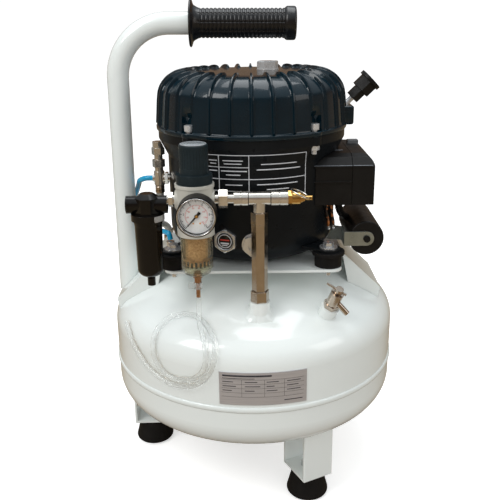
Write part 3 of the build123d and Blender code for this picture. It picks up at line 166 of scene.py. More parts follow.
M = {}
M["white_paint"] = surface("white_paint", (0.815, 0.865, 0.850), (0.835, 0.880, 0.865), (0.13, 0.20), scale=9,
                           bump=0.06, bump_scale=170, bump_dist=0.0003, coat=0.6, coat_rough=0.06, bevel=0.0010)
M["weld_paint"] = surface("weld_paint", (0.79, 0.845, 0.83), (0.83, 0.875, 0.86), (0.16, 0.28), scale=60,
                          bump=0.30, bump_scale=420, bump_dist=0.0004, coat=0.5, coat_rough=0.1)
M["black_rubber"] = surface("black_rubber", (0.006, 0.006, 0.006), (0.011, 0.010, 0.010), (0.50, 0.66), scale=60,
                            bump=0.25, bump_scale=900, bump_dist=0.0002, bevel=0.0008, spec=0.16,
                            wear=(0.07, 0.065, 0.06), wear_amount=0.5)
M["grip_rubber"] = surface("grip_rubber", (0.004, 0.004, 0.005), (0.008, 0.008, 0.009), (0.24, 0.36), scale=60,
                           bump=0.12, bump_scale=900, bump_dist=0.0002, spec=0.45, coat=0.15, coat_rough=0.2)
M["plug_steel"] = surface("plug_steel", (0.66, 0.68, 0.70), (0.80, 0.81, 0.82), (0.20, 0.30), metal=0.55, scale=60,
                          bump=0.04, bump_scale=300, bevel=0.0004)
# pale grey-blue plastic: painted highlight lines on the switch box's ridges, and the vents on its top
M["vent_and_highlight_plastic"] = surface("vent_and_highlight_plastic", (0.12, 0.135, 0.155), (0.20, 0.22, 0.25), (0.25, 0.4), scale=90, bump=0.1, bump_scale=900)
M["zinc_steel"] = surface("zinc_steel", (0.70, 0.72, 0.74), (0.80, 0.81, 0.82), (0.17, 0.24), metal=0.82, scale=40,
                          bump=0.02, bump_scale=300, bevel=0.0004)
M["strap_steel"] = surface("strap_steel", (0.31, 0.345, 0.33), (0.41, 0.45, 0.43), (0.26, 0.36), metal=0.82, scale=60,
                           bump=0.03, bump_scale=300, bevel=0.0004)
M["silver_plate"] = surface("silver_plate", (0.50, 0.50, 0.54), (0.60, 0.59, 0.62), (0.30, 0.42), metal=0.55, scale=30,
                            bump=0.08, bump_scale=500, stretch=(1, 1, 22), bevel=0.0004)
M["black_casting"] = surface("black_casting", (0.0045, 0.006, 0.0075), (0.0075, 0.009, 0.0105), (0.26, 0.36), scale=30,
                             bump=0.16, bump_scale=520, bump_dist=0.0003, bevel=0.0011, spec=0.16,
                             wear=(0.05, 0.05, 0.05), wear_amount=0.30)
M["dark_teal_casting"] = surface("dark_teal_casting", (0.0004, 0.0088, 0.0150), (0.0008, 0.0120, 0.0200), (0.20, 0.28), scale=24,
                                 bump=0.10, bump_scale=330, bump_dist=0.0003, coat=0.50, coat_rough=0.04, spec=0.2)
# lid_top: the brown tint in its base colour is a painted reflection, standing in for the warm brown the lid's top
# mirrors
M["lid_top"] = surface("lid_top", (0.020, 0.010, 0.006), (0.030, 0.016, 0.010), (0.10, 0.16), scale=24,
                       bump=0.05, bump_scale=330, coat=0.3, coat_rough=0.05, spec=0.3)
M["nickel"] = surface("nickel", (0.46, 0.385, 0.315), (0.56, 0.48, 0.405), (0.13, 0.22), metal=1.0, scale=90,
                      bump=0.05, bump_scale=600, bevel=0.0005)
M["nickel_bright"] = surface("nickel_bright", (0.70, 0.655, 0.59), (0.80, 0.76, 0.70), (0.13, 0.20), metal=0.88, scale=90,
                             bump=0.05, bump_scale=600, bevel=0.0005)
M["sight_window"] = surface("sight_window", (0.010, 0.010, 0.010), (0.020, 0.018, 0.016), (0.05, 0.10), scale=200,
                            bump=0.0, coat=1.0, coat_rough=0.03)
M["black_plastic"] = surface("black_plastic", (0.0055, 0.0052, 0.005), (0.0095, 0.009, 0.0085), (0.36, 0.48), scale=50,
                             bump=0.22, bump_scale=1100, bump_dist=0.00015, bevel=0.0008, spec=0.20)
M["lamination_steel"] = surface("lamination_steel", (0.36, 0.37, 0.38), (0.50, 0.51, 0.52), (0.35, 0.5), metal=0.9, scale=40,
                                bump=0.6, bump_scale=60, stretch=(1, 1, 40), bevel=0.0004)
M["copper_winding"] = surface("copper_winding", (0.42, 0.17, 0.06), (0.62, 0.28, 0.12), (0.25, 0.35), metal=0.8, scale=60,
                              bump=0.8, bump_scale=130, bump_dist=0.0006, stretch=(1, 1, 9))
M["cast_block"] = surface("cast_block", (0.16, 0.16, 0.17), (0.26, 0.26, 0.27), (0.55, 0.7), metal=0.5, scale=60,
                          bump=0.5, bump_scale=420, bump_dist=0.0006, bevel=0.0008)
M["piston_alloy"] = surface("piston_alloy", (0.62, 0.62, 0.64), (0.74, 0.74, 0.76), (0.25, 0.38), metal=1.0, scale=60,
                            bump=0.1, bump_scale=400, bevel=0.0004)
M["grey_plastic"] = surface("grey_plastic", (0.13, 0.14, 0.15), (0.18, 0.19, 0.20), (0.35, 0.45), scale=50,
                            bump=0.15, bump_scale=900, bevel=0.0008)
M["lead_insulation"] = surface("lead_insulation", (0.012, 0.008, 0.007), (0.50, 0.17, 0.045), (0.30, 0.42), scale=75, stops=(0.53, 0.58),
                               bump=0.1, bump_scale=500, coat=0.3)
M["drain_copper"] = surface("drain_copper", (0.42, 0.24, 0.15), (0.55, 0.34, 0.22), (0.18, 0.30), metal=1.0, scale=110,
                            bump=0.06, bump_scale=600, bevel=0.0004)
M["brass"] = surface("brass", (0.60, 0.34, 0.10), (0.72, 0.45, 0.16), (0.14, 0.26), metal=1.0, scale=110,
                     bump=0.06, bump_scale=600, bevel=0.0004)
M["light_grey_cast"] = surface("light_grey_cast", (0.56, 0.55, 0.49), (0.63, 0.62, 0.56), (0.34, 0.46), scale=50,
                               bump=0.2, bump_scale=700, bevel=0.0008, metal=0.15,
                               wear=(0.75, 0.74, 0.70), wear_amount=0.5)
M["dark_knob_plastic"] = surface("dark_knob_plastic", (0.009, 0.017, 0.021), (0.014, 0.024, 0.029), (0.30, 0.42), scale=70,
                                 bump=0.15, bump_scale=900, bevel=0.0006, spec=0.22)
M["dial_white"] = surface("dial_white", (0.84, 0.85, 0.85), (0.90, 0.90, 0.89), (0.35, 0.45), scale=60, bump=0.03, bump_scale=600)
M["needle_black"] = surface("needle_black", (0.008, 0.008, 0.008), (0.016, 0.015, 0.015), (0.22, 0.32), scale=200, bump=0.05, bump_scale=900)
M["sintered_element"] = surface("sintered_element", (0.50, 0.24, 0.10), (0.92, 0.62, 0.36), (0.65, 0.85), scale=560,
                                bump=0.9, bump_scale=900, bump_dist=0.0006, voronoi=True)
M["black_filter"] = surface("black_filter", (0.0035, 0.0028, 0.0025), (0.006, 0.0048, 0.0042), (0.12, 0.20), scale=40,
                            bump=0.05, bump_scale=500, bevel=0.0008, coat=0.22, coat_rough=0.05, spec=0.2)
M["blue_tube"] = surface("blue_tube", (0.004, 0.30, 0.56), (0.008, 0.38, 0.66), (0.16, 0.24), scale=90, bump=0.04,
                         bump_scale=500, coat=0.3, sss=0.15)
M["white_print"] = surface("white_print", (0.60, 0.62, 0.66), (0.74, 0.75, 0.78), (0.4, 0.55), scale=300, bump=0.1, bump_scale=900)
M["black_print"] = surface("black_print", (0.02, 0.02, 0.03), (0.05, 0.05, 0.06), (0.4, 0.55), scale=300, bump=0.1, bump_scale=900)
M["red_print"] = surface("red_print", (0.55, 0.04, 0.03), (0.70, 0.07, 0.05), (0.4, 0.55), scale=300, bump=0.1, bump_scale=900)
M["amber_print"] = surface("amber_print", (0.75, 0.30, 0.05), (0.85, 0.42, 0.09), (0.4, 0.55), scale=300, bump=0.1, bump_scale=900)
M["band_print"] = surface("band_print", (0.45, 0.45, 0.45), (0.62, 0.62, 0.62), (0.3, 0.4), metal=0.4, scale=300, bump=0.1, bump_scale=900)
M["badge_grey"] = surface("badge_grey", (0.50, 0.54, 0.57), (0.62, 0.66, 0.69), (0.3, 0.4), metal=0.5, scale=300, bump=0.1, bump_scale=900)
M["bezel_chrome"] = surface("bezel_chrome", (0.66, 0.66, 0.66), (0.80, 0.80, 0.80), (0.10, 0.18), metal=1.0, scale=150, bump=0.03, bump_scale=600)
M["wire_steel"] = surface("wire_steel", (0.70, 0.67, 0.62), (0.84, 0.81, 0.76), (0.16, 0.26), metal=1.0, scale=300, bump=0.05, bump_scale=900)


def clear(name, tint, rough, transmission=0.92, ior=1.46, alpha=None, coat=0.0):
    s = Mat(name)
    n = s.noise(60, 3)
    c = s.ramp(n.outputs["Fac"], [(0.3, tuple(x * 0.97 for x in tint)), (0.7, tint)])
    s.link(c.outputs["Color"], s.b.inputs["Base Color"])
    r = s.maprange(s.noise(220, 5).outputs["Fac"], 0.3, 0.7, rough[0], rough[1])
    s.link(r.outputs["Result"], s.b.inputs["Roughness"])
    bp = s.node("ShaderNodeBump", Strength=0.05, Distance=0.0003)
    s.link(s.noise(150, 2).outputs["Fac"], bp.inputs["Height"])
    s.link(bp.outputs["Normal"], s.b.inputs["Normal"])
    s.b.inputs["Transmission Weight"].default_value = transmission
    s.b.inputs["IOR"].default_value = ior
    s.b.inputs["Coat Weight"].default_value = coat
    if alpha is not None:
        s.b.inputs["Alpha"].default_value = alpha
    return s


M["clear_lens"] = clear("clear_lens", (0.97, 0.98, 0.98), (0.01, 0.03), 1.0, 1.10, alpha=0.25)
M["clear_bowl"] = clear("clear_bowl", (0.86, 0.83, 0.60), (0.03, 0.08), 0.95, 1.22, alpha=0.62, coat=0.6)
M["clear_collar"] = clear("clear_collar", (0.88, 0.90, 0.90), (0.08, 0.14), 0.8, 1.35, alpha=0.7)
M["clear_tube"] = clear("clear_tube", (0.97, 0.985, 0.98), (0.05, 0.10), 0.90, 1.22, alpha=0.42, coat=0.8)
M["braid_clear"] = clear("braid_clear", (0.80, 0.82, 0.80), (0.10, 0.18), 0.6, 1.35, coat=0.4)
M["braid_strand"] = surface("braid_strand", (0.62, 0.60, 0.56), (0.76, 0.74, 0.70), (0.25, 0.35), metal=0.5, scale=300, bump=0.1, bump_scale=900)


# ------------------------------------------------------------------ mesh tools
def finish_mesh(name, me, mat, body="chassis", slot=None, replaces=(), angle=35):
    ob = bpy.data.objects.new(name, me)
    bpy.context.collection.objects.link(ob)
    bm = bmesh.new()
    bm.from_mesh(me)
    bmesh.ops.recalc_face_normals(bm, faces=bm.faces)
    bm.to_mesh(me)
    bm.free()
    me.shade_smooth()
    if angle:
        me.set_sharp_from_angle(angle=radians(angle))
    if mat:
        me.materials.append(mat.m)
    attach(ob, body)
    if replaces:
        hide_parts(*replaces)
    return ob


def mesh(name, verts, faces, mat, **k):
    me = bpy.data.meshes.new(name)
    me.from_pydata([tuple(v) for v in verts], [], faces)
    me.validate()
    return finish_mesh(name, me, mat, **k)


def frame_of(axis):
    a = Vector(axis).normalized()
    t = Vector((0, 0, 1)) if abs(a.z) < 0.9 else Vector((0, -1, 0))
    u = t.cross(a).normalized()
    v = a.cross(u).normalized()
    return a, u, v


def lathe_data(profile, origin, axis, n=96, rfun=None, verts=None, faces=None, closed=False):
    """profile is (r, s) in mm, s along the axis from the origin in mm."""
    a, u, v = frame_of(axis)
    o = Vector(origin)
    verts = [] if verts is None else verts
    faces = [] if faces is None else faces
    rings = []
    for r, s in profile:
        if r < 1e-4:
            verts.append((o + a * s) * MM)
            rings.append([len(verts) - 1])
            continue
        ring = []
        for i in range(n):
            t = 2 * pi * i / n
            rr = rfun(r, s, t) if rfun else r
            verts.append((o + a * s + (u * cos(t) + v * sin(t)) * rr) * MM)
            ring.append(len(verts) - 1)
        rings.append(ring)
    pairs = list(zip(rings, rings[1:]))
    if closed:
        pairs.append((rings[-1], rings[0]))
    for A, B in pairs:
        if len(A) == 1 and len(B) == 1:
            continue
        for i in range(n):
            j = (i + 1) % n
            if len(A) == 1:
                faces.append((A[0], B[i], B[j]))
            elif len(B) == 1:
                faces.append((A[i], B[0], A[j]))
            else:
                faces.append((A[i], B[i], B[j], A[j]))
    return verts, faces


def lathe(name, profile, origin, axis, mat, n=96, rfun=None, closed=False, **k):
    v, f = lathe_data(profile, origin, axis, n, rfun, closed=closed)
    return mesh(name, v, f, mat, **k)


def box_piece(name, lo, hi, mat, bevel=0.6, segs=3, **k):
    me = bpy.data.meshes.new(name)
    bm = bmesh.new()
    bmesh.ops.create_cube(bm, size=1.0)
    for v in bm.verts:
        v.co = Vector([(lo[i] + hi[i]) / 2 + v.co[i] * (hi[i] - lo[i]) for i in range(3)]) * MM
    bmesh.ops.bevel(bm, geom=bm.edges[:], offset=bevel * MM, segments=segs, affect="EDGES", profile=0.5)
    bm.to_mesh(me)
    bm.free()
    return finish_mesh(name, me, mat, **k)


def tube_data(points, radius, n=10, closed=False, verts=None, faces=None, caps=True):
    """A round tube through points in mm; radius is a number or a function of index."""
    verts = [] if verts is None else verts
    faces = [] if faces is None else faces
    P = [Vector(p) for p in points]
    m = len(P)
    up = None
    rings = []
    for i in range(m):
        a = P[(i - 1) % m] if closed or i > 0 else P[i]
        b = P[(i + 1) % m] if closed or i < m - 1 else P[i]
        t = (b - a).normalized()
        if up is None:
            up = t.orthogonal().normalized()
        up = (up - t * up.dot(t)).normalized()
        w = t.cross(up)
        r = radius(i) if callable(radius) else radius
        ring = []
        for k in range(n):
            an = 2 * pi * k / n
            verts.append((P[i] + (up * cos(an) + w * sin(an)) * r) * MM)
            ring.append(len(verts) - 1)
        rings.append(ring)
    pairs = list(zip(rings, rings[1:])) + ([(rings[-1], rings[0])] if closed else [])
    for A, B in pairs:
        for k in range(n):
            j = (k + 1) % n
            faces.append((A[k], B[k], B[j], A[j]))
    if caps and not closed:
        faces.append(tuple(reversed(rings[0])))
        faces.append(tuple(rings[-1]))
    return verts, faces


def casing_radius():
    """The casing's outer radius at a height, from the CAD node's own mesh."""
    from mathutils.bvhtree import BVHTree
    me = bpy.data.objects["bowl_casing"].data
    tree = BVHTree.FromPolygons([v.co for v in me.vertices], [tuple(p.vertices) for p in me.polygons])

    def f(an, z, default):
        d = Vector((cos(an), sin(an), 0))
        hit = tree.ray_cast(d * 0.14 + Vector((0, 0, z * MM)), -d, 0.06)
        if hit[0] is None:
            return default
        flare = 98.0 + max(0.0, z - 385.0) * 0.52
        return min(hypot(hit[0].x, hit[0].y) / MM, flare)
    return f


CASING_R = casing_radius()


def strip_on_cylinder(a0, z0, a1, z1, w, R, verts, faces, t=0.12, steps=24):
    """A thin raised line on a vertical cylinder of radius R about the Z axis, mm and degrees."""
    s = Vector((radians(a1 - a0) * R, z1 - z0))
    L = s.length
    d = s / L
    nrm = Vector((-d.y, d.x)) * w / 2
    rings = []
    for i in range(steps + 1):
        f = i / steps
        ring = []
        for sg, dr in ((-1, -0.3), (-1, t), (1, t), (1, -0.3)):
            arc = radians(a0) * R + (s.x * f) + nrm.x * sg
            z = z0 + s.y * f + nrm.y * sg
            an = arc / R
            rr = R + dr
            if abs(R - 98.0) < 0.01:
                # the print keeps its width where the casing flares out below the flange
                q = CASING_R(an, z, R)
                rr = q + dr
                an = -acos(max(-1.0, min(1.0, R * cos(an) / q)))
            verts.append(Vector((rr * cos(an), rr * sin(an), z)) * MM)
            ring.append(len(verts) - 1)
        rings.append(ring)
    for A, B in zip(rings, rings[1:]):
        for k in range(4):
            j = (k + 1) % 4
            faces.append((A[k], B[k], B[j], A[j]))
    faces.append(tuple(rings[0]))
    faces.append(tuple(reversed(rings[-1])))


def node_obj(name):
    return bpy.data.objects[name]


def paint(node, mat):
    ob = node_obj(node)
    if not ob.material_slots:
        raise RuntimeError(node + " has no material slot")
    for s in ob.material_slots:
        s.material = mat.m


record = frame["record"]
for sp in record["subparts"]:
    slot = sp["material_slot"]
    key = {"braided_clear": "braid_clear"}.get(slot, slot)
    paint(sp["node"], M[key])
paint("safety_valve_ring", M["wire_steel"])
paint("regulator_drain", M["drain_copper"])
paint("lid_plug", M["plug_steel"])
paint("capacitor_strap", M["strap_steel"])
paint("lid_bolts", M["plug_steel"])
for nd in ("tee_fitting", "line_couplings", "hex_nipples", "discharge_fittings"):
    paint(nd, M["nickel_bright"])
for nd in ("sight_glass_nut", "oil_plug"):
    paint(nd, M["zinc_steel"])


# ------------------------------------------------------------------ cord first
HOSE = [(-58.8, -125.0, 250.9), (-58.8, -125.0, 243.4), (-58.7, -127.7, 235.9), (-58.4, -133.2, 229.4), (-57.2, -141.1, 224.4),
        (-53.9, -150.7, 218.6), (-50.1, -161.9, 206.1), (-50.9, -167.6, 189.0), (-61.2, -163.8, 174.4), (-76.4, -157.1, 168.6),
        (-91.7, -148.4, 168.0), (-105.0, -140.4, 177.1), (-109.9, -135.6, 193.5), (-108.4, -127.3, 209.1), (-98.8, -117.0, 220.4),
        (-82.4, -114.8, 227.1), (-65.8, -120.7, 228.9), (-53.3, -132.9, 226.0), (-45.3, -147.0, 220.2), (-40.3, -161.3, 210.4),
        (-41.7, -169.1, 194.6), (-49.2, -167.9, 178.1), (-61.4, -163.9, 166.4), (-76.6, -156.9, 160.8), (-91.8, -148.5, 160.4),
        (-105.9, -138.8, 164.1), (-118.5, -129.3, 171.6), (-128.4, -118.7, 181.1), (-137.0, -107.8, 191.7), (-142.9, -94.6, 201.3),
        (-145.0, -87.0, 205.2)]
cu = bpy.data.curves.new("drain_hose", "CURVE")
cu.dimensions = "3D"
sp = cu.splines.new("NURBS")
sp.points.add(len(HOSE) - 1)
for p, q in zip(sp.points, HOSE):
    p.co = (q[0] * MM, q[1] * MM, q[2] * MM, 1.0)
sp.order_u = 3
sp.use_endpoint_u = True
cu.resolution_u = 12
cu.bevel_depth = 0.003
cu.bevel_resolution = 5
cu.use_fill_caps = True
cu.materials.append(M["clear_tube"].m)
drain_hose = bpy.data.objects.new("drain_hose", cu)
bpy.context.collection.objects.link(drain_hose)
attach(drain_hose, "chassis")
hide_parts("clear_hose")


# ------------------------------------------------------------------ ribbed lid
def catmull(pts, per=10):
    out = []
    n = len(pts)
    for i in range(n - 1):
        p0 = pts[max(i - 1, 0)]
        p1, p2 = pts[i], pts[i + 1]
        p3 = pts[min(i + 2, n - 1)]
        for k in range(per):
            t = k / per
            out.append(tuple(0.5 * ((2 * p1[j]) + (-p0[j] + p2[j]) * t + (2 * p0[j] - 5 * p1[j] + 4 * p2[j] - p3[j]) * t * t
                                    + (-p0[j] + 3 * p1[j] - 3 * p2[j] + p3[j]) * t ** 3) for j in range(2)))
    out.append(pts[-1])
    return out


BASE = [(101.0, 414.7), (108.8, 414.6), (109.6, 414.9), (110.0, 415.6), (110.0, 417.0), (110.0, 418.6), (109.8, 419.2), (109.3, 419.6),
        (108.8, 419.7), (108.3, 419.9), (107.9, 420.4), (107.65, 421.2), (107.5, 422.4), (107.3, 424.4), (107.1, 427.0), (107.0, 428.6),
        (106.95, 429.4), (106.9, 430.0), (106.85, 430.6), (106.7, 432.0), (106.4, 435.5), (106.0, 440.0), (105.5, 445.0), (105.0, 450.0), (104.6, 453.0)]
# shoulder: a tight roll at the top of the wall, a flat band, then a second roll on to the crown
SH = catmull([(104.6, 453.0), (103.7, 457.6), (101.6, 461.6), (98.6, 465.4), (94.6, 469.2), (89.6, 472.4), (84.0, 474.8), (77.5, 476.2), (70.5, 476.8)], 4)
BASE += SH[1:]
BASE += [(68.6, 476.85), (67.2, 476.9), (66.4, 476.9), (64, 476.95), (60, 477.0), (50, 477.0), (30, 477.0), (12, 477.0), (0, 477.0)]
OUTER = catmull([(66.6, 476.9), (67.6, 479.3), (71, 480.3), (78, 480.4), (87.0, 478.3), (95.4, 473.9), (102.0, 467.0), (106.3, 458.6), (108.2, 447.5), (109.3, 434.0), (110.2, 424.0), (110.4, 420.4), (109.4, 419.5)], 8)
BOLTS = [50.5, -50.5, 129.5, -129.5]


def rib_height(r, z, nr, nz):
    """Distance from a base point along its normal to the ribs' outer line, in mm."""
    best = 0.0
    for (r0, z0), (r1, z1) in zip(OUTER, OUTER[1:]):
        dr, dz = r1 - r0, z1 - z0
        det = nr * (-dz) - nz * (-dr)
        if abs(det) < 1e-9:
            continue
        br, bz = r0 - r, z0 - z
        t = (br * (-dz) - bz * (-dr)) / det
        q = (nr * bz - nz * br) / det
        if -0.001 <= q <= 1.001 and 0 < t < 9:
            best = max(best, t)
    return best


def smooth(x, a, b):
    t = min(1.0, max(0.0, (x - a) / (b - a)))
    return t * t * (3 - 2 * t)


N = 960
heights = []
for i, (r, z) in enumerate(BASE):
    a = BASE[max(i - 1, 0)]
    b = BASE[min(i + 1, len(BASE) - 1)]
    tr, tz = b[0] - a[0], b[1] - a[1]
    L = hypot(tr, tz)
    nr, nz = tz / L, -tr / L
    h = rib_height(r, z, nr, nz) if (z > 420.2 and r > 66.0) else 0.0
    heights.append((nr, nz, h))

verts, faces = [], []
rings = []
for (r, z), (nr, nz, h) in zip(BASE, heights):
    if r < 1e-3:
        verts.append(Vector((0, 0, z)) * MM)
        rings.append([len(verts) - 1])
        continue
    ring = []
    for i in range(N):
        th = 360.0 * i / N
        k = round((th - 6.0) / 12.0)
        d = abs(radians(th - (6.0 + 12.0 * k))) * r
        f = 1.0 - smooth(d, 0.85, 1.85)
        foot = 0.40 * (1.0 - smooth(d, 1.4, 3.0))
        rr, zz = r, z
        hh = 0.0 if h <= 0 else max(h * f, min(foot, h) * (1 - f) + h * f)
        for bt in BOLTS:
            da = (th - bt + 180) % 360 - 180
            if abs(da) > 9:
                continue
            lat = 104.0 * sin(radians(da))
            if z < 419.65 and r > 104 and abs(lat) < 8:
                rr = max(rr, 104.0 * cos(radians(da)) + sqrt(64 - lat * lat) - (110.0 - r))
            if 419.65 <= z < 446.0 and abs(lat) < 7.2:
                deep = min(rr, 104.0 - sqrt(7.2 ** 2 - lat * lat))
                w = smooth(z, 429.5, 446.0)
                rr = deep * (1 - w) + rr * w
            if z < 446 and abs(lat) < 8.6:
                hh *= smooth(z, 429.5, 446.0)
        R = rr + nr * hh
        Z = zz + nz * hh
        t = radians(th)
        verts.append(Vector((R * cos(t), R * sin(t), Z)) * MM)
        ring.append(len(verts) - 1)
    rings.append(ring)
for A, B in zip(rings, rings[1:]):
    for i in range(N):
        j = (i + 1) % N
        if len(B) == 1:
            faces.append((A[i], B[0], A[j]))
        else:
            faces.append((A[i], B[i], B[j], A[j]))
inner = [(0, 471.5), (64.0, 471.5), (88.0, 465.0), (98.0, 452.0), (99.5, 432.0), (101.0, 414.7)]
v2, f2 = lathe_data(inner, (0, 0, 0), (0, 0, 1), 96)
base = len(verts)
verts += v2
faces += [tuple(i + base for i in f) for f in f2]
lid = mesh("ribbed_lid", verts, faces, M["dark_teal_casting"], slot="dark_teal_casting", replaces=("lid_casing",), angle=50)
box_piece("lid_side_boss", (96.0, -14.6, 416.0), (117.5, 14.6, 437.4), M["dark_teal_casting"], bevel=2.6, segs=5, slot="dark_teal_casting")

# ------------------------------------------------------------------ grip with rounded ribs
HC, HE = Vector((-151.6, 0, 530.9)), Vector((47, 0, 527.9))
GD = (HE - HC).normalized()
GO = HC + GD * (151.6 - 67.6)
prof = [(12.55, 0.0), (25.2, 0.0), (25.9, 0.5), (26.0, 1.1), (25.7, 1.9), (24.9, 2.4), (21.0, 3.6), (19.3, 4.6), (17.6, 7.4), (16.4, 10.0), (16.2, 11.2)]
s = 12.0
for k in range(21):
    prof += [(16.15, s - 0.25), (15.85, s + 0.15), (15.35, s + 0.55), (15.3, s + 1.0), (15.35, s + 1.45), (15.85, s + 1.85), (16.15, s + 2.25), (16.25, s + 3.3)]
    s += 4.5
prof += [(15.9, 105.4), (16.6, 106.2), (17.9, 107.6), (18.3, 109.0), (18.3, 116.2), (17.9, 117.6), (16.9, 118.5), (15.2, 118.9), (8.0, 119.0), (0.0, 119.0)]


def grip_r(r, s, t):
    # the moulded sleeve's ribs are broken by fine long flats
    if 11.0 < s < 106.0:
        return r - 0.75 * max(0.0, cos(t * 10 + 0.9)) ** 14
    return r


lathe("grip_sleeve", prof, GO, GD, M["grip_rubber"], n=240, rfun=grip_r, slot="black_rubber", replaces=("handle_grip",), angle=40)

# ------------------------------------------------------------------ tank: weld seam and fillets
def tank_z(r):
    """Height of the upper head's outer surface at radius r, mm."""
    if r <= 137 + 34 * 0.0:
        zc = -19.5 + sqrt(280.5 ** 2 - r * r)
        if r < 120:
            return zc
    zk = 185.4 + sqrt(max(0.0, 34 ** 2 - max(0.0, r - 137) ** 2))
    zc = -19.5 + sqrt(280.5 ** 2 - r * r)
    return min(zc, zk) if r > 137 else zc


def seam(name, z, rmaj, rmin, flat=0.55):
    n, m = 480, 10
    verts, faces = [], []
    for i in range(n):
        t = 2 * pi * i / n
        w = 0.22 * noise.noise(Vector((cos(t) * 14, sin(t) * 14, z))) + 0.12 * sin(t * 190)
        for k in range(m):
            a = 2 * pi * k / m
            r = rmaj + (rmin * flat + w * 0.5) * cos(a)
            verts.append(Vector((r * cos(t), r * sin(t), z + (rmin + w) * sin(a))) * MM)
    for i in range(n):
        for k in range(m):
            a, b = i * m + k, i * m + (k + 1) % m
            c, d = ((i + 1) % n) * m + (k + 1) % m, ((i + 1) % n) * m + k
            faces.append((a, b, c, d))
    return mesh(name, verts, faces, M["weld_paint"], slot="white_paint", angle=None)


seam("seam_weld", 139.4, 171.0, 3.4, 0.42)


def weld_on_tank(name, cx, cy, r, h=2.2, w=3.4, extra=None):
    """A rippled weld fillet round an upright boss standing on the crown."""
    n, prof_n = 120, 7
    verts, faces = [], []
    for i in range(n):
        t = 2 * pi * i / n
        rip = 1.0 + 0.022 * sin(t * 22) + 0.16 * noise.noise(Vector((cos(t) * 2.4 + cx, sin(t) * 2.4, 1.0)))
        for k in range(prof_n):
            f = k / (prof_n - 1)
            rr = r - 0.6 + (w * rip + 0.6) * f
            x, y = cx + rr * cos(t), cy + rr * sin(t)
            z = tank_z(hypot(x, y)) + (h * rip) * (1 - f) ** 2.1 + 0.25 * sin(f * pi) - 0.12
            verts.append(Vector((x, y, z)) * MM)
    for i in range(n):
        for k in range(prof_n - 1):
            a, b = i * prof_n + k, i * prof_n + k + 1
            c, d = ((i + 1) % n) * prof_n + k + 1, ((i + 1) % n) * prof_n + k
            faces.append((a, b, c, d))
    return mesh(name, verts, faces, M["weld_paint"], slot="white_paint", angle=None)


weld_on_tank("riser_boss_weld", 6.9, -125.0, 11.0, 7.5, 6.4)
weld_on_tank("valve_boss_weld", -112.0, 84.0, 11.0, 5.5, 5.0)


def tank_project(p, guess_dir):
    """Nearest outer surface point of the receiver to p (mm), projected straight on to the crown sphere, the knuckle
    circle or the wall.
    """
    p = Vector(p)
    rho = hypot(p.x, p.y)
    ux, uy = p.x / rho, p.y / rho
    best = None
    # knuckle circle, crown sphere and wall, in the (rho, z) plane
    c = Vector((0.0, -19.5))
    d = Vector((rho, p.z)) - c
    q = c + d.normalized() * 280.5
    if q.x <= 121.5:
        best = q
    else:
        c = Vector((137.0, 185.4))
        d = Vector((rho, p.z)) - c
        if d.y >= 0:
            best = c + d.normalized() * 34.0
        else:
            best = Vector((171.0, p.z))
    return Vector((ux * best.x, uy * best.x, best.y))


DN = Vector((0.285, -0.40, 0.87)).normalized()
DP = Vector((80, -112, 224))
a_, u_, v_ = frame_of(DN)
verts, faces = [], []
n_, k_ = 96, 6
for i in range(n_):
    t = 2 * pi * i / n_
    rip = 1.0 + 0.05 * sin(t * 20)
    foot = tank_project(DP + (u_ * cos(t) + v_ * sin(t)) * (10.2 + 4.0 * rip), None)
    top0 = tank_project(DP + (u_ * cos(t) + v_ * sin(t)) * 9.7, None)
    top = top0 + DN * 3.0 * rip
    for k in range(k_):
        f = k / (k_ - 1)
        p = top.lerp(foot, f) - DN * (0.9 * sin(f * pi)) - DN * (0.15 if k in (0, k_ - 1) else 0)
        verts.append(p * MM)
for i in range(n_):
    for k in range(k_ - 1):
        a, b = i * k_ + k, i * k_ + k + 1
        c, d = ((i + 1) % n_) * k_ + k + 1, ((i + 1) % n_) * k_ + k
        faces.append((a, b, c, d))
mesh("drain_boss_weld", verts, faces, M["weld_paint"], slot="white_paint", angle=None)

# ------------------------------------------------------------------ printed grid on the casing (no words)
verts, faces = [], []
R = 98.0
for a0, z0, a1, z1 in ((-130, 399.2, -54.2, 399.2), (-130, 385.1, -91.95, 385.1), (-130, 372.4, -54.2, 372.4), (-130, 359.5, -91.95, 359.5),
                       (-130, 346.8, -54.2, 346.8), (-130, 399.6, -130, 346.4), (-110.9, 399.2, -110.9, 346.8), (-91.95, 399.2, -91.95, 346.8),
                       (-54.2, 399.6, -54.2, 346.4)):
    strip_on_cylinder(a0, z0, a1, z1, 0.85, R, verts, faces)
mesh("casing_table_lines", verts, faces, M["white_print"], slot="dial_white", angle=None)

# ------------------------------------------------------------------ camera, light, floor
def camera():
    C = Vector((-3.28, -797.2, 533.5)) * MM
    yaw, p, roll = radians(-0.83), radians(18.22), radians(0.92)
    fw = Vector((sin(yaw) * cos(p), cos(yaw) * cos(p), -sin(p)))
    r = Vector((cos(yaw), -sin(yaw), 0))
    u = r.cross(fw)
    right = r * cos(roll) - u * sin(roll)
    up = r * sin(roll) + u * cos(roll)
    cam = bpy.data.cameras.new("view")
    cam.sensor_width = 36.0
    cam.sensor_fit = "HORIZONTAL"
    cam.lens = 679.11 / 500 * 36.0
    cam.shift_x = (250 - 240.43) / 500
    cam.shift_y = -(250 - 242.18) / 500
    cam.clip_start = 0.01
    ob = bpy.data.objects.new("view", cam)
    bpy.context.collection.objects.link(ob)
    m = Matrix.Identity(4)
    back = -fw
    for i in range(3):
        m[i][0], m[i][1], m[i][2], m[i][3] = right[i], up[i], back[i], C[i]
    ob.matrix_world = m
    bpy.context.scene.camera = ob


camera()


def area(name, loc, target, size, power, colour=(1, 1, 1), size_y=None):
    li = bpy.data.lights.new(name, "AREA")
    li.energy = power
    li.color = colour
    li.shape = "RECTANGLE"
    li.size = size
    li.size_y = size_y or size
    ob = bpy.data.objects.new(name, li)
    bpy.context.collection.objects.link(ob)
    ob.location = loc
    ob.rotation_euler = (Vector(target) - Vector(loc)).to_track_quat("-Z", "Y").to_euler()
    return ob


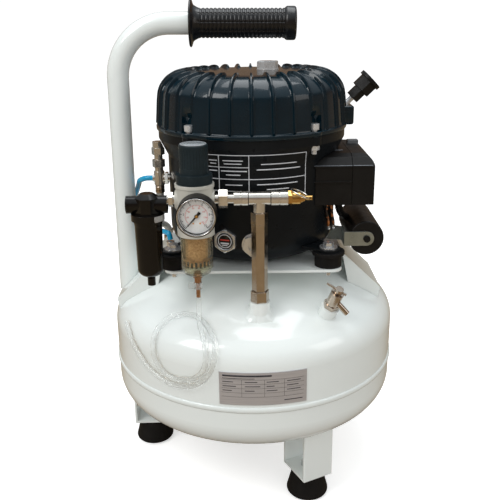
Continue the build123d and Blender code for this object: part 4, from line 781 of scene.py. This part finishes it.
area("key_softbox", (-1.15, -0.95, 1.65), (0, 0, 0.28), 0.9, 14.5, (1.0, 0.995, 0.98))
area("right_softbox", (1.35, -0.75, 1.0), (0, 0, 0.30), 0.7, 2.6, (1.0, 0.985, 0.96))
area("top_softbox", (0.1, 0.25, 1.75), (0, 0, 0.3), 1.0, 9.5, (0.97, 0.99, 1.0))
area("front_fill", (0.0, -1.9, 0.45), (0, 0, 0.2), 1.2, 3.6, (1.0, 0.985, 0.96), 0.6).visible_glossy = False

w = bpy.data.worlds.new("studio")
bpy.context.scene.world = w
w.use_nodes = True
nt = w.node_tree
nt.nodes.clear()
wo = nt.nodes.new("ShaderNodeOutputWorld")
lp = nt.nodes.new("ShaderNodeLightPath")
plain = nt.nodes.new("ShaderNodeBackground")
plain.inputs["Color"].default_value = (1.0, 1.0, 1.0, 1)
plain.inputs["Strength"].default_value = 1.05
soft = nt.nodes.new("ShaderNodeBackground")
soft.inputs["Color"].default_value = (0.96, 0.985, 1.0, 1)
soft.inputs["Strength"].default_value = 0.70
room = nt.nodes.new("ShaderNodeBackground")
room.inputs["Strength"].default_value = 1.0
tc = nt.nodes.new("ShaderNodeTexCoord")
sx = nt.nodes.new("ShaderNodeSeparateXYZ")
nt.links.new(tc.outputs["Generated"], sx.inputs[0])
rp = nt.nodes.new("ShaderNodeValToRGB")
el = rp.color_ramp.elements
el[0].position, el[0].color = 0.0, (0.26, 0.18, 0.12, 1)
el[1].position, el[1].color = 1.0, (0.74, 0.80, 0.85, 1)
e = el.new(0.22)
e.color = (0.17, 0.095, 0.05, 1)
e = el.new(0.38)
e.color = (0.13, 0.10, 0.08, 1)
e = el.new(0.54)
e.color = (0.46, 0.50, 0.53, 1)
nt.links.new(sx.outputs["Z"], rp.inputs["Fac"])
nt.links.new(rp.outputs["Color"], room.inputs["Color"])
m1 = nt.nodes.new("ShaderNodeMixShader")
nt.links.new(lp.outputs["Is Glossy Ray"], m1.inputs[0])
nt.links.new(soft.outputs[0], m1.inputs[1])
nt.links.new(room.outputs[0], m1.inputs[2])
m2 = nt.nodes.new("ShaderNodeMixShader")
nt.links.new(lp.outputs["Is Camera Ray"], m2.inputs[0])
nt.links.new(m1.outputs[0], m2.inputs[1])
nt.links.new(plain.outputs[0], m2.inputs[2])
nt.links.new(m2.outputs[0], wo.inputs[0])
bpy.context.scene.view_settings.view_transform = "Standard"

fm = surface("floor_white", (0.93, 0.93, 0.93), (0.95, 0.95, 0.95), (0.6, 0.7), scale=3, bump=0.0, spec=0.2)
fm.b.inputs["Emission Color"].default_value = (1.0, 1.0, 1.0, 1)
fm.b.inputs["Emission Strength"].default_value = 0.50
# the studio beyond the white sweep is warm and dim: that is what the object mirrors and is lit by from below
flp = fm.nt.nodes.new("ShaderNodeLightPath")
fdim = fm.nt.nodes.new("ShaderNodeBsdfDiffuse")
fdim.inputs["Color"].default_value = (0.36, 0.31, 0.27, 1)
fwarm = fm.nt.nodes.new("ShaderNodeBsdfDiffuse")
fwarm.inputs["Color"].default_value = (0.31, 0.235, 0.145, 1)
fray = fm.nt.nodes.new("ShaderNodeMixShader")
fm.link(flp.outputs["Is Glossy Ray"], fray.inputs[0])
fm.link(fdim.outputs[0], fray.inputs[1])
fm.link(fwarm.outputs[0], fray.inputs[2])
fmix = fm.nt.nodes.new("ShaderNodeMixShader")
fm.link(flp.outputs["Is Camera Ray"], fmix.inputs[0])
fm.link(fray.outputs[0], fmix.inputs[1])
fm.link(fm.b.outputs[0], fmix.inputs[2])
fm.link(fmix.outputs[0], fm.out.inputs[0])
me = bpy.data.meshes.new("floor")
me.from_pydata([(-6, -6, -0.0006), (6, -6, -0.0006), (6, 6, -0.0006), (-6, 6, -0.0006)], [], [(0, 1, 2, 3)])
fl = bpy.data.objects.new("floor", me)
me.materials.append(fm.m)
bpy.context.collection.objects.link(fl)

# ------------------------------------------------------------------ printed and small details
def xz_piece(name, shapes, y0, y1, mat, **k):
    """Flat shapes in the XZ plane (lists of (x, z) mm, anticlockwise or not), given a small thickness along Y."""
    verts, faces = [], []
    for sh in shapes:
        b = len(verts)
        m = len(sh)
        for y in (y0, y1):
            verts += [Vector((x, y, z)) * MM for x, z in sh]
        faces.append(tuple(b + i for i in range(m)))
        faces.append(tuple(b + m + i for i in reversed(range(m))))
        for i in range(m):
            j = (i + 1) % m
            faces.append((b + i, b + m + i, b + m + j, b + j))
    return mesh(name, verts, faces, mat, angle=30, **k)


GX, GZ = -55.2, 350.6


def polar(r, deg):
    return GX + r * cos(radians(deg)), GZ + r * sin(radians(deg))


def tick(deg, r0, r1, w):
    c, s = cos(radians(deg)), sin(radians(deg))
    return [(GX + r * c - q * s, GZ + r * s + q * c) for r, q in ((r0, -w / 2), (r1, -w / 2), (r1, w / 2), (r0, w / 2))]


def arc_band(r0, r1, a0, a1, n=48):
    out = [polar(r0, a0 + (a1 - a0) * i / n) for i in range(n + 1)]
    out += [polar(r1, a1 + (a0 - a1) * i / n) for i in range(n + 1)]
    return out


def arc_quads(r0, r1, a0, a1, n=64):
    return [[polar(r0, a0 + (a1 - a0) * i / n), polar(r1, a0 + (a1 - a0) * i / n), polar(r1, a0 + (a1 - a0) * (i + 1) / n), polar(r0, a0 + (a1 - a0) * (i + 1) / n)] for i in range(n)]


# the scale runs from lower left, clockwise, to lower right
S0, S1 = 228.5, -48.5
shapes = [tick(S0 + (S1 - S0) * i / 50, 14.9 if i % 5 else 14.2, 16.4, 0.34 if i % 5 else 0.62) for i in range(51)]
shapes += arc_quads(16.4, 16.75, S0, S1)
xz_piece("gauge_ticks", shapes, -159.0, -158.7, M["black_print"], slot="needle_black")
shapes = [tick(S0 + (S1 - S0) * i / 35, 10.3 if i % 5 else 9.6, 11.2, 0.26 if i % 5 else 0.45) for i in range(36)]
shapes += arc_quads(11.2, 11.34, S0, S1)
xz_piece("gauge_inner_scale", shapes, -159.0, -158.7, M["red_print"], slot="needle_black")


def numerals(name, labels, radius, size, mat):
    obs = []
    dg = None
    for text, deg in labels:
        c = bpy.data.curves.new(name, "FONT")
        c.body = text
        c.size = size * MM
        c.align_x = "CENTER"
        c.align_y = "CENTER"
        c.extrude = 0.00008
        c.resolution_u = 3
        o = bpy.data.objects.new(name, c)
        bpy.context.collection.objects.link(o)
        x, z = polar(radius, deg)
        o.matrix_world = Matrix.Translation((x * MM, -0.15890, z * MM)) @ Matrix.Rotation(radians(90), 4, "X")
        obs.append(o)
    bpy.context.view_layer.update()
    dg = bpy.context.evaluated_depsgraph_get()
    bm = bmesh.new()
    for o in obs:
        me = bpy.data.meshes.new_from_object(o.evaluated_get(dg))
        me.transform(o.matrix_world)
        bm.from_mesh(me)
        bpy.data.meshes.remove(me)
    me = bpy.data.meshes.new(name)
    bm.to_mesh(me)
    bm.free()
    for o in obs:
        c = o.data
        bpy.data.objects.remove(o)
        bpy.data.curves.remove(c)
    me.materials.clear()
    return finish_mesh(name, me, mat, slot="needle_black", angle=30)


numerals("gauge_numbers", [(str(i), S0 + (S1 - S0) * i / 10) for i in range(0, 11, 2)], 12.8, 3.3, M["black_print"])
numerals("gauge_inner_numbers", [(str(i * 20), S0 + (S1 - S0) * i / 7) for i in range(0, 8)], 8.4, 2.1, M["red_print"])
xz_piece("gauge_zero_dots", [[(GX + sx * 3.4 + 0.85 * cos(t * pi / 12), GZ - 7.4 + 0.85 * sin(t * pi / 12)) for t in range(24)] for sx in (-1, 1)],
         -159.0, -158.7, M["amber_print"], slot="brass")
lathe("gauge_hub", [(0, 160.45), (0.0, 161.3), (0.9, 161.25), (1.45, 160.9), (1.6, 160.45), (0, 160.45)], (GX, 0, GZ), (0, -1, 0), M["brass"], n=32, body="needle", slot="brass")
lathe("gauge_bezel", [(17.75, 163.9), (17.85, 164.7), (18.1, 165.35), (18.45, 165.65), (18.85, 165.6), (19.1, 165.3), (19.15, 164.9), (18.6, 164.7), (18.6, 163.9)],
      (GX, 0, GZ), (0, -1, 0), M["bezel_chrome"], n=120, closed=True, slot="zinc_steel", angle=50)


# sight glass: white ring and two plain bars in place of its word
def on_bowl(deg, z):
    n = Vector((cos(radians(deg)), sin(radians(deg)), 0))
    return n * 98.0 + Vector((0, 0, z)), n


SGX = -29.5
sg_deg = degrees(atan2(-sqrt(98.0 ** 2 - SGX ** 2), SGX))
o, nrm = on_bowl(sg_deg, 304.0)


def hex_r(af, cut, turn=0.0):
    """A lathe radius function for a hexagon: flats af apart, corners rounded off at the profile's radius; cut is not
    used.
    """
    def f(r, s, t):
        k = (t + turn) % (pi / 3) - pi / 6
        return min(r, r / (af / 2) * (af / 2) / cos(k), r) if r < af / 2 - 0.01 else min(af / 2 / cos(k), r)
    return f


lathe("sight_glass_body", [(9.1, -1.4), (12.0, -1.4), (13.9, -1.2), (13.9, 3.0), (13.4, 3.6), (12.2, 4.15), (11.2, 4.35), (10.2, 4.3), (9.7, 3.9), (9.3, 3.3), (9.1, 3.0)],
      o, nrm, M["zinc_steel"], n=180, rfun=hex_r(23.6, 13.9, radians(30)), closed=True, slot="nickel", replaces=("sight_glass_nut",), angle=40)
lathe("sight_glass_window", [(0, 0.4), (9.2, 0.4), (9.2, 2.5), (8.8, 2.8), (6.0, 3.0), (0, 3.05)], o, nrm, M["sight_window"], n=72, slot="sight_window", replaces=("sight_glass_lens",), angle=40)
lathe("sight_glass_ring", [(7.0, 2.85), (7.0, 3.25), (7.8, 3.2), (7.8, 2.85)], o, nrm, M["white_print"], n=72, closed=True, slot="dial_white", angle=40)
side = Vector((0, 0, 1)).cross(nrm).normalized()
verts, faces = [], []
for w, z0, z1 in ((4.8, -3.4, -1.6), (3.0, -5.2, -4.2)):
    b = len(verts)
    for d in (2.8, 3.3):
        for sx, zz in ((-1, z0), (1, z0), (1, z1), (-1, z1)):
            verts.append((o + nrm * d + side * (sx * w) + Vector((0, 0, zz))) * MM)
    faces += [(b, b + 1, b + 2, b + 3), (b + 4, b + 5, b + 6, b + 7), (b, b + 1, b + 5, b + 4), (b + 1, b + 2, b + 6, b + 5), (b + 2, b + 3, b + 7, b + 6), (b + 3, b, b + 4, b + 7)]
mesh("sight_glass_bars", verts, faces, M["white_print"], slot="dial_white", angle=30)
verts, faces = [], []
for w, z0, z1 in ((5.2, 0.6, 2.0),):
    b = len(verts)
    for d in (2.8, 3.3):
        for sx, zz in ((-1, z0), (1, z0), (1, z1), (-1, z1)):
            verts.append((o + nrm * d + side * (sx * w) + Vector((0, 0, zz))) * MM)
    faces += [(b, b + 1, b + 2, b + 3), (b + 4, b + 5, b + 6, b + 7), (b, b + 1, b + 5, b + 4), (b + 1, b + 2, b + 6, b + 5), (b + 2, b + 3, b + 7, b + 6), (b + 3, b, b + 4, b + 7)]
mesh("sight_glass_red_bar", verts, faces, M["red_print"], slot="dial_white", angle=30)

# plate on the receiver: faint rules and blank bars in place of its lettering
verts, faces = [], []
for z in (176.4, 171.3, 166.2, 161.0, 156.2):
    strip_on_cylinder(-101.6, z, -72.4, z, 0.28, 171.85, verts, faces, t=0.05)
for a in (-94.5, -86.5, -79.5):
    strip_on_cylinder(a, 176.4, a, 156.2, 0.28, 171.85, verts, faces, t=0.05, steps=3)
for a0, a1, z, w in ((-101.3, -84.0, 180.9, 2.0), (-101.3, -90.0, 177.8, 0.7),
                     (-101.3, -97.5, 173.8, 0.9), (-93.4, -89.0, 173.8, 0.9), (-85.8, -81.5, 173.8, 0.9), (-78.6, -73.6, 173.8, 0.9),
                     (-101.3, -96.5, 168.7, 0.9), (-93.4, -88.0, 168.7, 0.9), (-85.8, -83.0, 168.7, 0.9), (-78.6, -74.4, 168.7, 0.9),
                     (-101.3, -98.0, 163.6, 0.9), (-93.4, -90.0, 163.6, 0.9), (-85.8, -82.0, 163.6, 0.9), (-78.6, -73.6, 163.6, 0.9),
                     (-79.5, -72.8, 151.4, 1.0)):
    strip_on_cylinder(a0, z, a1, z, w, 171.85, verts, faces, t=0.05)
mesh("plate_rules", verts, faces, M["black_print"], slot="needle_black", angle=None)

# blank bars in the casing's table, where the real one has words
verts, faces = [], []
for a0, a1, z in ((-108.3, -95.6, 392.9), (-107.6, -96.4, 389.2), (-109.6, -93.2, 381.1), (-106.4, -97.2, 377.0), (-106.8, -96.0, 366.2),
                  (-117.6, -112.0, 392.9), (-116.8, -112.6, 389.2), (-117.6, -112.0, 381.1),
                  (-84.6, -61.0, 388.6), (-87.2, -58.4, 382.6), (-87.0, -60.2, 366.6), (-81.0, -66.4, 361.0)):
    strip_on_cylinder(a0, z, a1, z, 1.15, 98.0, verts, faces, t=0.08)
mesh("casing_table_bars", verts, faces, M["white_print"], slot="dial_white", angle=None)

# perforated badge on top of the knob: crossed raised lines inside a circle
verts, faces = [], []
KX, KY, KZ = -58.8, -125.0, 415.8


def flat_strip(cx, cy, ang, off, half, w, z0, z1):
    c, s = cos(ang), sin(ang)
    b = len(verts)
    for z in (z0, z1):
        for l, q in ((-half, -w / 2), (half, -w / 2), (half, w / 2), (-half, w / 2)):
            verts.append(Vector((cx + c * l - s * (off + q), cy + s * l + c * (off + q), z)) * MM)
    faces.extend([(b, b + 1, b + 2, b + 3), (b + 4, b + 5, b + 6, b + 7), (b, b + 1, b + 5, b + 4), (b + 1, b + 2, b + 6, b + 5), (b + 2, b + 3, b + 7, b + 6), (b + 3, b, b + 4, b + 7)])


for ang in (radians(70), radians(-70)):
    q = -11.6
    while q < 12:
        half = sqrt(max(0.0, 12.3 ** 2 - q * q))
        if half > 1.5:
            flat_strip(KX, KY, ang, q, half, 0.85, KZ - 0.1, KZ + 0.4)
        q += 2.7
mesh("knob_badge_lines", verts, faces, M["badge_grey"], body="knob", slot="grey_plastic", angle=None)
lathe("knob_badge_rim", [(12.2, -0.1), (12.2, 0.45), (12.6, 0.6), (13.2, 0.45), (13.3, -0.1)], (KX, KY, KZ), (0, 0, 1), M["badge_grey"], n=72, body="knob", closed=True, slot="grey_plastic", angle=60)

# silver band on the outlet filter's collar
verts, faces = [], []
nb = 26
for i in range(nb + 1):
    an = radians(-60 + 54 * i / nb)
    h = 3.0 if 0 < i < nb else 1.6
    tilt = 0.0
    for rr in (17.0, 17.45):
        for zz in (-h, h):
            verts.append(Vector((-108 + rr * cos(an), -125 + rr * sin(an), 341.5 + zz)) * MM)
for i in range(nb):
    a, b = i * 4, (i + 1) * 4
    faces += [(a + 2, b + 2, b + 3, a + 3), (a, a + 1, b + 1, b), (a + 1, a + 3, b + 3, b + 1), (a, b, b + 2, a + 2)]
faces += [(0, 2, 3, 1), (nb * 4, nb * 4 + 1, nb * 4 + 3, nb * 4 + 2)]
mesh("filter_band", verts, faces, M["band_print"], slot="silver_plate", angle=40)

# slots round the guard inside the clear bowl
verts, faces = [], []
for k in range(20):
    an = 2 * pi * k / 20
    b = len(verts)
    for rr in (14.35, 14.75):
        for da, zz in ((-0.085, 288.6), (0.085, 288.6), (0.085, 294.4 + 0.8 * (k % 2)), (-0.085, 294.4 + 0.8 * (k % 2))):
            verts.append(Vector((KX + rr * cos(an + da), KY + rr * sin(an + da), zz)) * MM)
    faces += [(b, b + 1, b + 2, b + 3), (b + 4, b + 5, b + 6, b + 7), (b, b + 1, b + 5, b + 4), (b + 1, b + 2, b + 6, b + 5), (b + 2, b + 3, b + 7, b + 6), (b + 3, b, b + 4, b + 7)]
mesh("bowl_guard_tabs", verts, faces, M["needle_black"], slot="needle_black", angle=None)

# braid on the discharge hose: crossing wires round its line
BR = [(-108, -20, 350.4), (-108, -20, 334), (-113, -8, 314), (-120, 20, 296), (-121, 52, 283), (-115, 76, 272), (-112, 84, 262), (-112, 84, 255.1)]
bc = bpy.data.curves.new("braid_line", "CURVE")
bc.dimensions = "3D"
bs = bc.splines.new("NURBS")
bs.points.add(len(BR) - 1)
for p, q in zip(bs.points, BR):
    p.co = (q[0] * MM, q[1] * MM, q[2] * MM, 1.0)
bs.order_u = 3
bs.use_endpoint_u = True
bc.resolution_u = 24
bo = bpy.data.objects.new("braid_line", bc)
bpy.context.collection.objects.link(bo)
bpy.context.view_layer.update()
line = [v.co / MM for v in bpy.data.meshes.new_from_object(bo.evaluated_get(bpy.context.evaluated_depsgraph_get())).vertices]
bpy.data.objects.remove(bo)


def resample(P, step):
    out, acc = [P[0]], 0.0
    for a, b in zip(P, P[1:]):
        L = (b - a).length
        while acc + L >= step:
            f = (step - acc) / L
            a = a.lerp(b, f)
            out.append(a)
            L = (b - a).length
            acc = 0.0
        acc += L
    return out


line = resample(line, 0.6)
v, f = tube_data(line, 3.9, n=24)
mesh("braid_core", v, f, M["braid_clear"], slot="braided_clear", replaces=("braided_hose",), angle=None)
# carried frame along the line
frames = []
up = None
for i, p in enumerate(line):
    t = (line[min(i + 1, len(line) - 1)] - line[max(i - 1, 0)]).normalized()
    if up is None:
        up = t.orthogonal().normalized()
    up = (up - t * up.dot(t)).normalized()
    frames.append((p, up.copy(), t.cross(up)))
verts, faces = [], []
for hand in (1, -1):
    for k in range(10):
        path = []
        for i, (p, uu, ww) in enumerate(frames):
            an = hand * i * 0.6 / 15.0 * 2 * pi + 2 * pi * k / 10
            rr = 4.25 + 0.18 * sin(an * 5 + hand)
            path.append(p + uu * (rr * cos(an)) + ww * (rr * sin(an)))
        tube_data(path, 0.27, n=5, verts=verts, faces=faces)
mesh("braid_wires", verts, faces, M["braid_strand"], slot="zinc_steel", angle=None)
for nm, p0, ax in (("braid_ferrule_top", (-108, -20, 350.3), (0, 0, -1)), ("braid_ferrule_low", (-112, 84, 255.2), (0, 0, 1))):
    lathe(nm, [(4.6, 0.0), (5.3, 0.3), (5.5, 1.0), (5.1, 1.8), (5.5, 2.6), (5.1, 3.5), (5.5, 4.4), (5.1, 5.4), (5.5, 6.4), (5.5, 8.6), (5.3, 9.2), (4.6, 9.3)],
          p0, ax, M["nickel"], n=48, closed=True, slot="nickel", angle=50)

# painted highlight strips along the switch box's ridges, vents on its top, the intake's metal stem
box_piece("box_ridge_highlight_top", (58.4, -70.7, 378.9), (109.2, -69.5, 380.5), M["vent_and_highlight_plastic"], bevel=0.45, slot="black_plastic")
box_piece("box_ridge_highlight_cover", (109.9, -70.7, 378.9), (131.6, -69.5, 380.5), M["vent_and_highlight_plastic"], bevel=0.45, slot="black_plastic")
box_piece("box_ridge_highlight_low", (58.4, -70.7, 361.3), (109.2, -69.5, 362.6), M["vent_and_highlight_plastic"], bevel=0.45, slot="black_plastic")
for i, (bx, by) in enumerate(((84, -28), (84, -14), (97, -34))):
    box_piece("box_vent_%d" % i, (bx - 6, by - 2.2, 390.3), (bx + 6, by + 2.2, 391.0), M["vent_and_highlight_plastic"], bevel=0.3, slot="black_plastic")
INT_O, INT_N = (104.5, 0, 433.7), Vector((0.72, 0, 0.694)).normalized()
lathe("intake_stem", [(2.96, 4.6), (3.35, 4.8), (3.35, 7.2), (3.15, 7.6), (3.15, 16.2), (2.96, 16.4)], INT_O, INT_N, M["plug_steel"], n=40, closed=True, slot="zinc_steel", angle=40)

# internal leads from the switch box to the pump's terminals, with their tags
verts, faces = [], []
tags_v, tags_f = [], []
for i, (x0, y0, x1, y1) in enumerate(((79, -52, 82, -44), (84, -55, 88, -45), (89, -52, 94, -42))):
    pts = [(x0, y0, 335.9), (x0 + 0.3, y0, 331), (x0 + 1.6 * (i - 1), y0 + 1.5, 325), (x0 + 0.5 + i, y0 + 3, 318), (x1 - 0.6, y1 - 1.5, 311), (x1, y1, 304.5)]
    fine = []
    for a in range(len(pts) - 1):
        p0, p1, p2, p3 = (Vector(pts[max(0, min(len(pts) - 1, a + d))]) for d in (-1, 0, 1, 2))
        for k in range(6):
            t = k / 6
            fine.append(0.5 * ((2 * p1) + (p2 - p0) * t + (2 * p0 - 5 * p1 + 4 * p2 - p3) * t * t + (3 * p1 - p0 - 3 * p2 + p3) * t ** 3))
    fine.append(Vector(pts[-1]))
    tube_data(fine, 1.5, n=12, verts=verts, faces=faces)
    lathe_data([(0, -1.0), (1.9, -0.8), (2.2, 0.4), (1.8, 1.2), (2.2, 2.0), (1.9, 3.6), (0, 3.8)], (x1, y1, 301.0), (0, 0, 1), 20, verts=tags_v, faces=tags_f)
mesh("box_leads", verts, faces, M["lead_insulation"], slot="lead_insulation", replaces=("lead_wires",), angle=None)
mesh("lead_tags", tags_v, tags_f, M["zinc_steel"], slot="zinc_steel", angle=40)
pts = [(99.5, -36, 335.9), (99.8, -35, 329), (101.5, -31, 321), (105, -24, 314), (109.5, -15, 309), (113.0, -8, 305)]
fine = []
for a in range(len(pts) - 1):
    p0, p1, p2, p3 = (Vector(pts[max(0, min(len(pts) - 1, a + d))]) for d in (-1, 0, 1, 2))
    for k in range(8):
        t = k / 8
        fine.append(0.5 * ((2 * p1) + (p2 - p0) * t + (2 * p0 - 5 * p1 + 4 * p2 - p3) * t * t + (3 * p1 - p0 - 3 * p2 + p3) * t ** 3))
fine.append(Vector(pts[-1]))
v, f = tube_data(fine, lambda i: 4.2 + 0.28 * sin(i * 1.9), n=24)
mesh("capacitor_lead_sleeve", v, f, M["black_plastic"], slot="black_plastic", angle=None)

# riser tube: swaged ring under the upper nut
# dark sealing rings where the sleeves butt against the tee
for nm, x in (("line_seal_left", -4.6), ("line_seal_right", 18.2)):
    lathe(nm, [(6.7, 0.0), (7.25, 0.1), (7.25, 0.7), (6.7, 0.8)], (x, -125, 359), (1, 0, 0), M["black_rubber"], n=64, closed=True, slot="black_rubber", angle=50)
lathe("riser_ring", [(6.9, 331.2), (7.75, 331.4), (7.9, 332.0), (7.75, 332.6), (6.9, 332.8)], (6.9, -125, 0), (0, 0, 1), M["nickel"], n=64, closed=True, slot="nickel", angle=50)
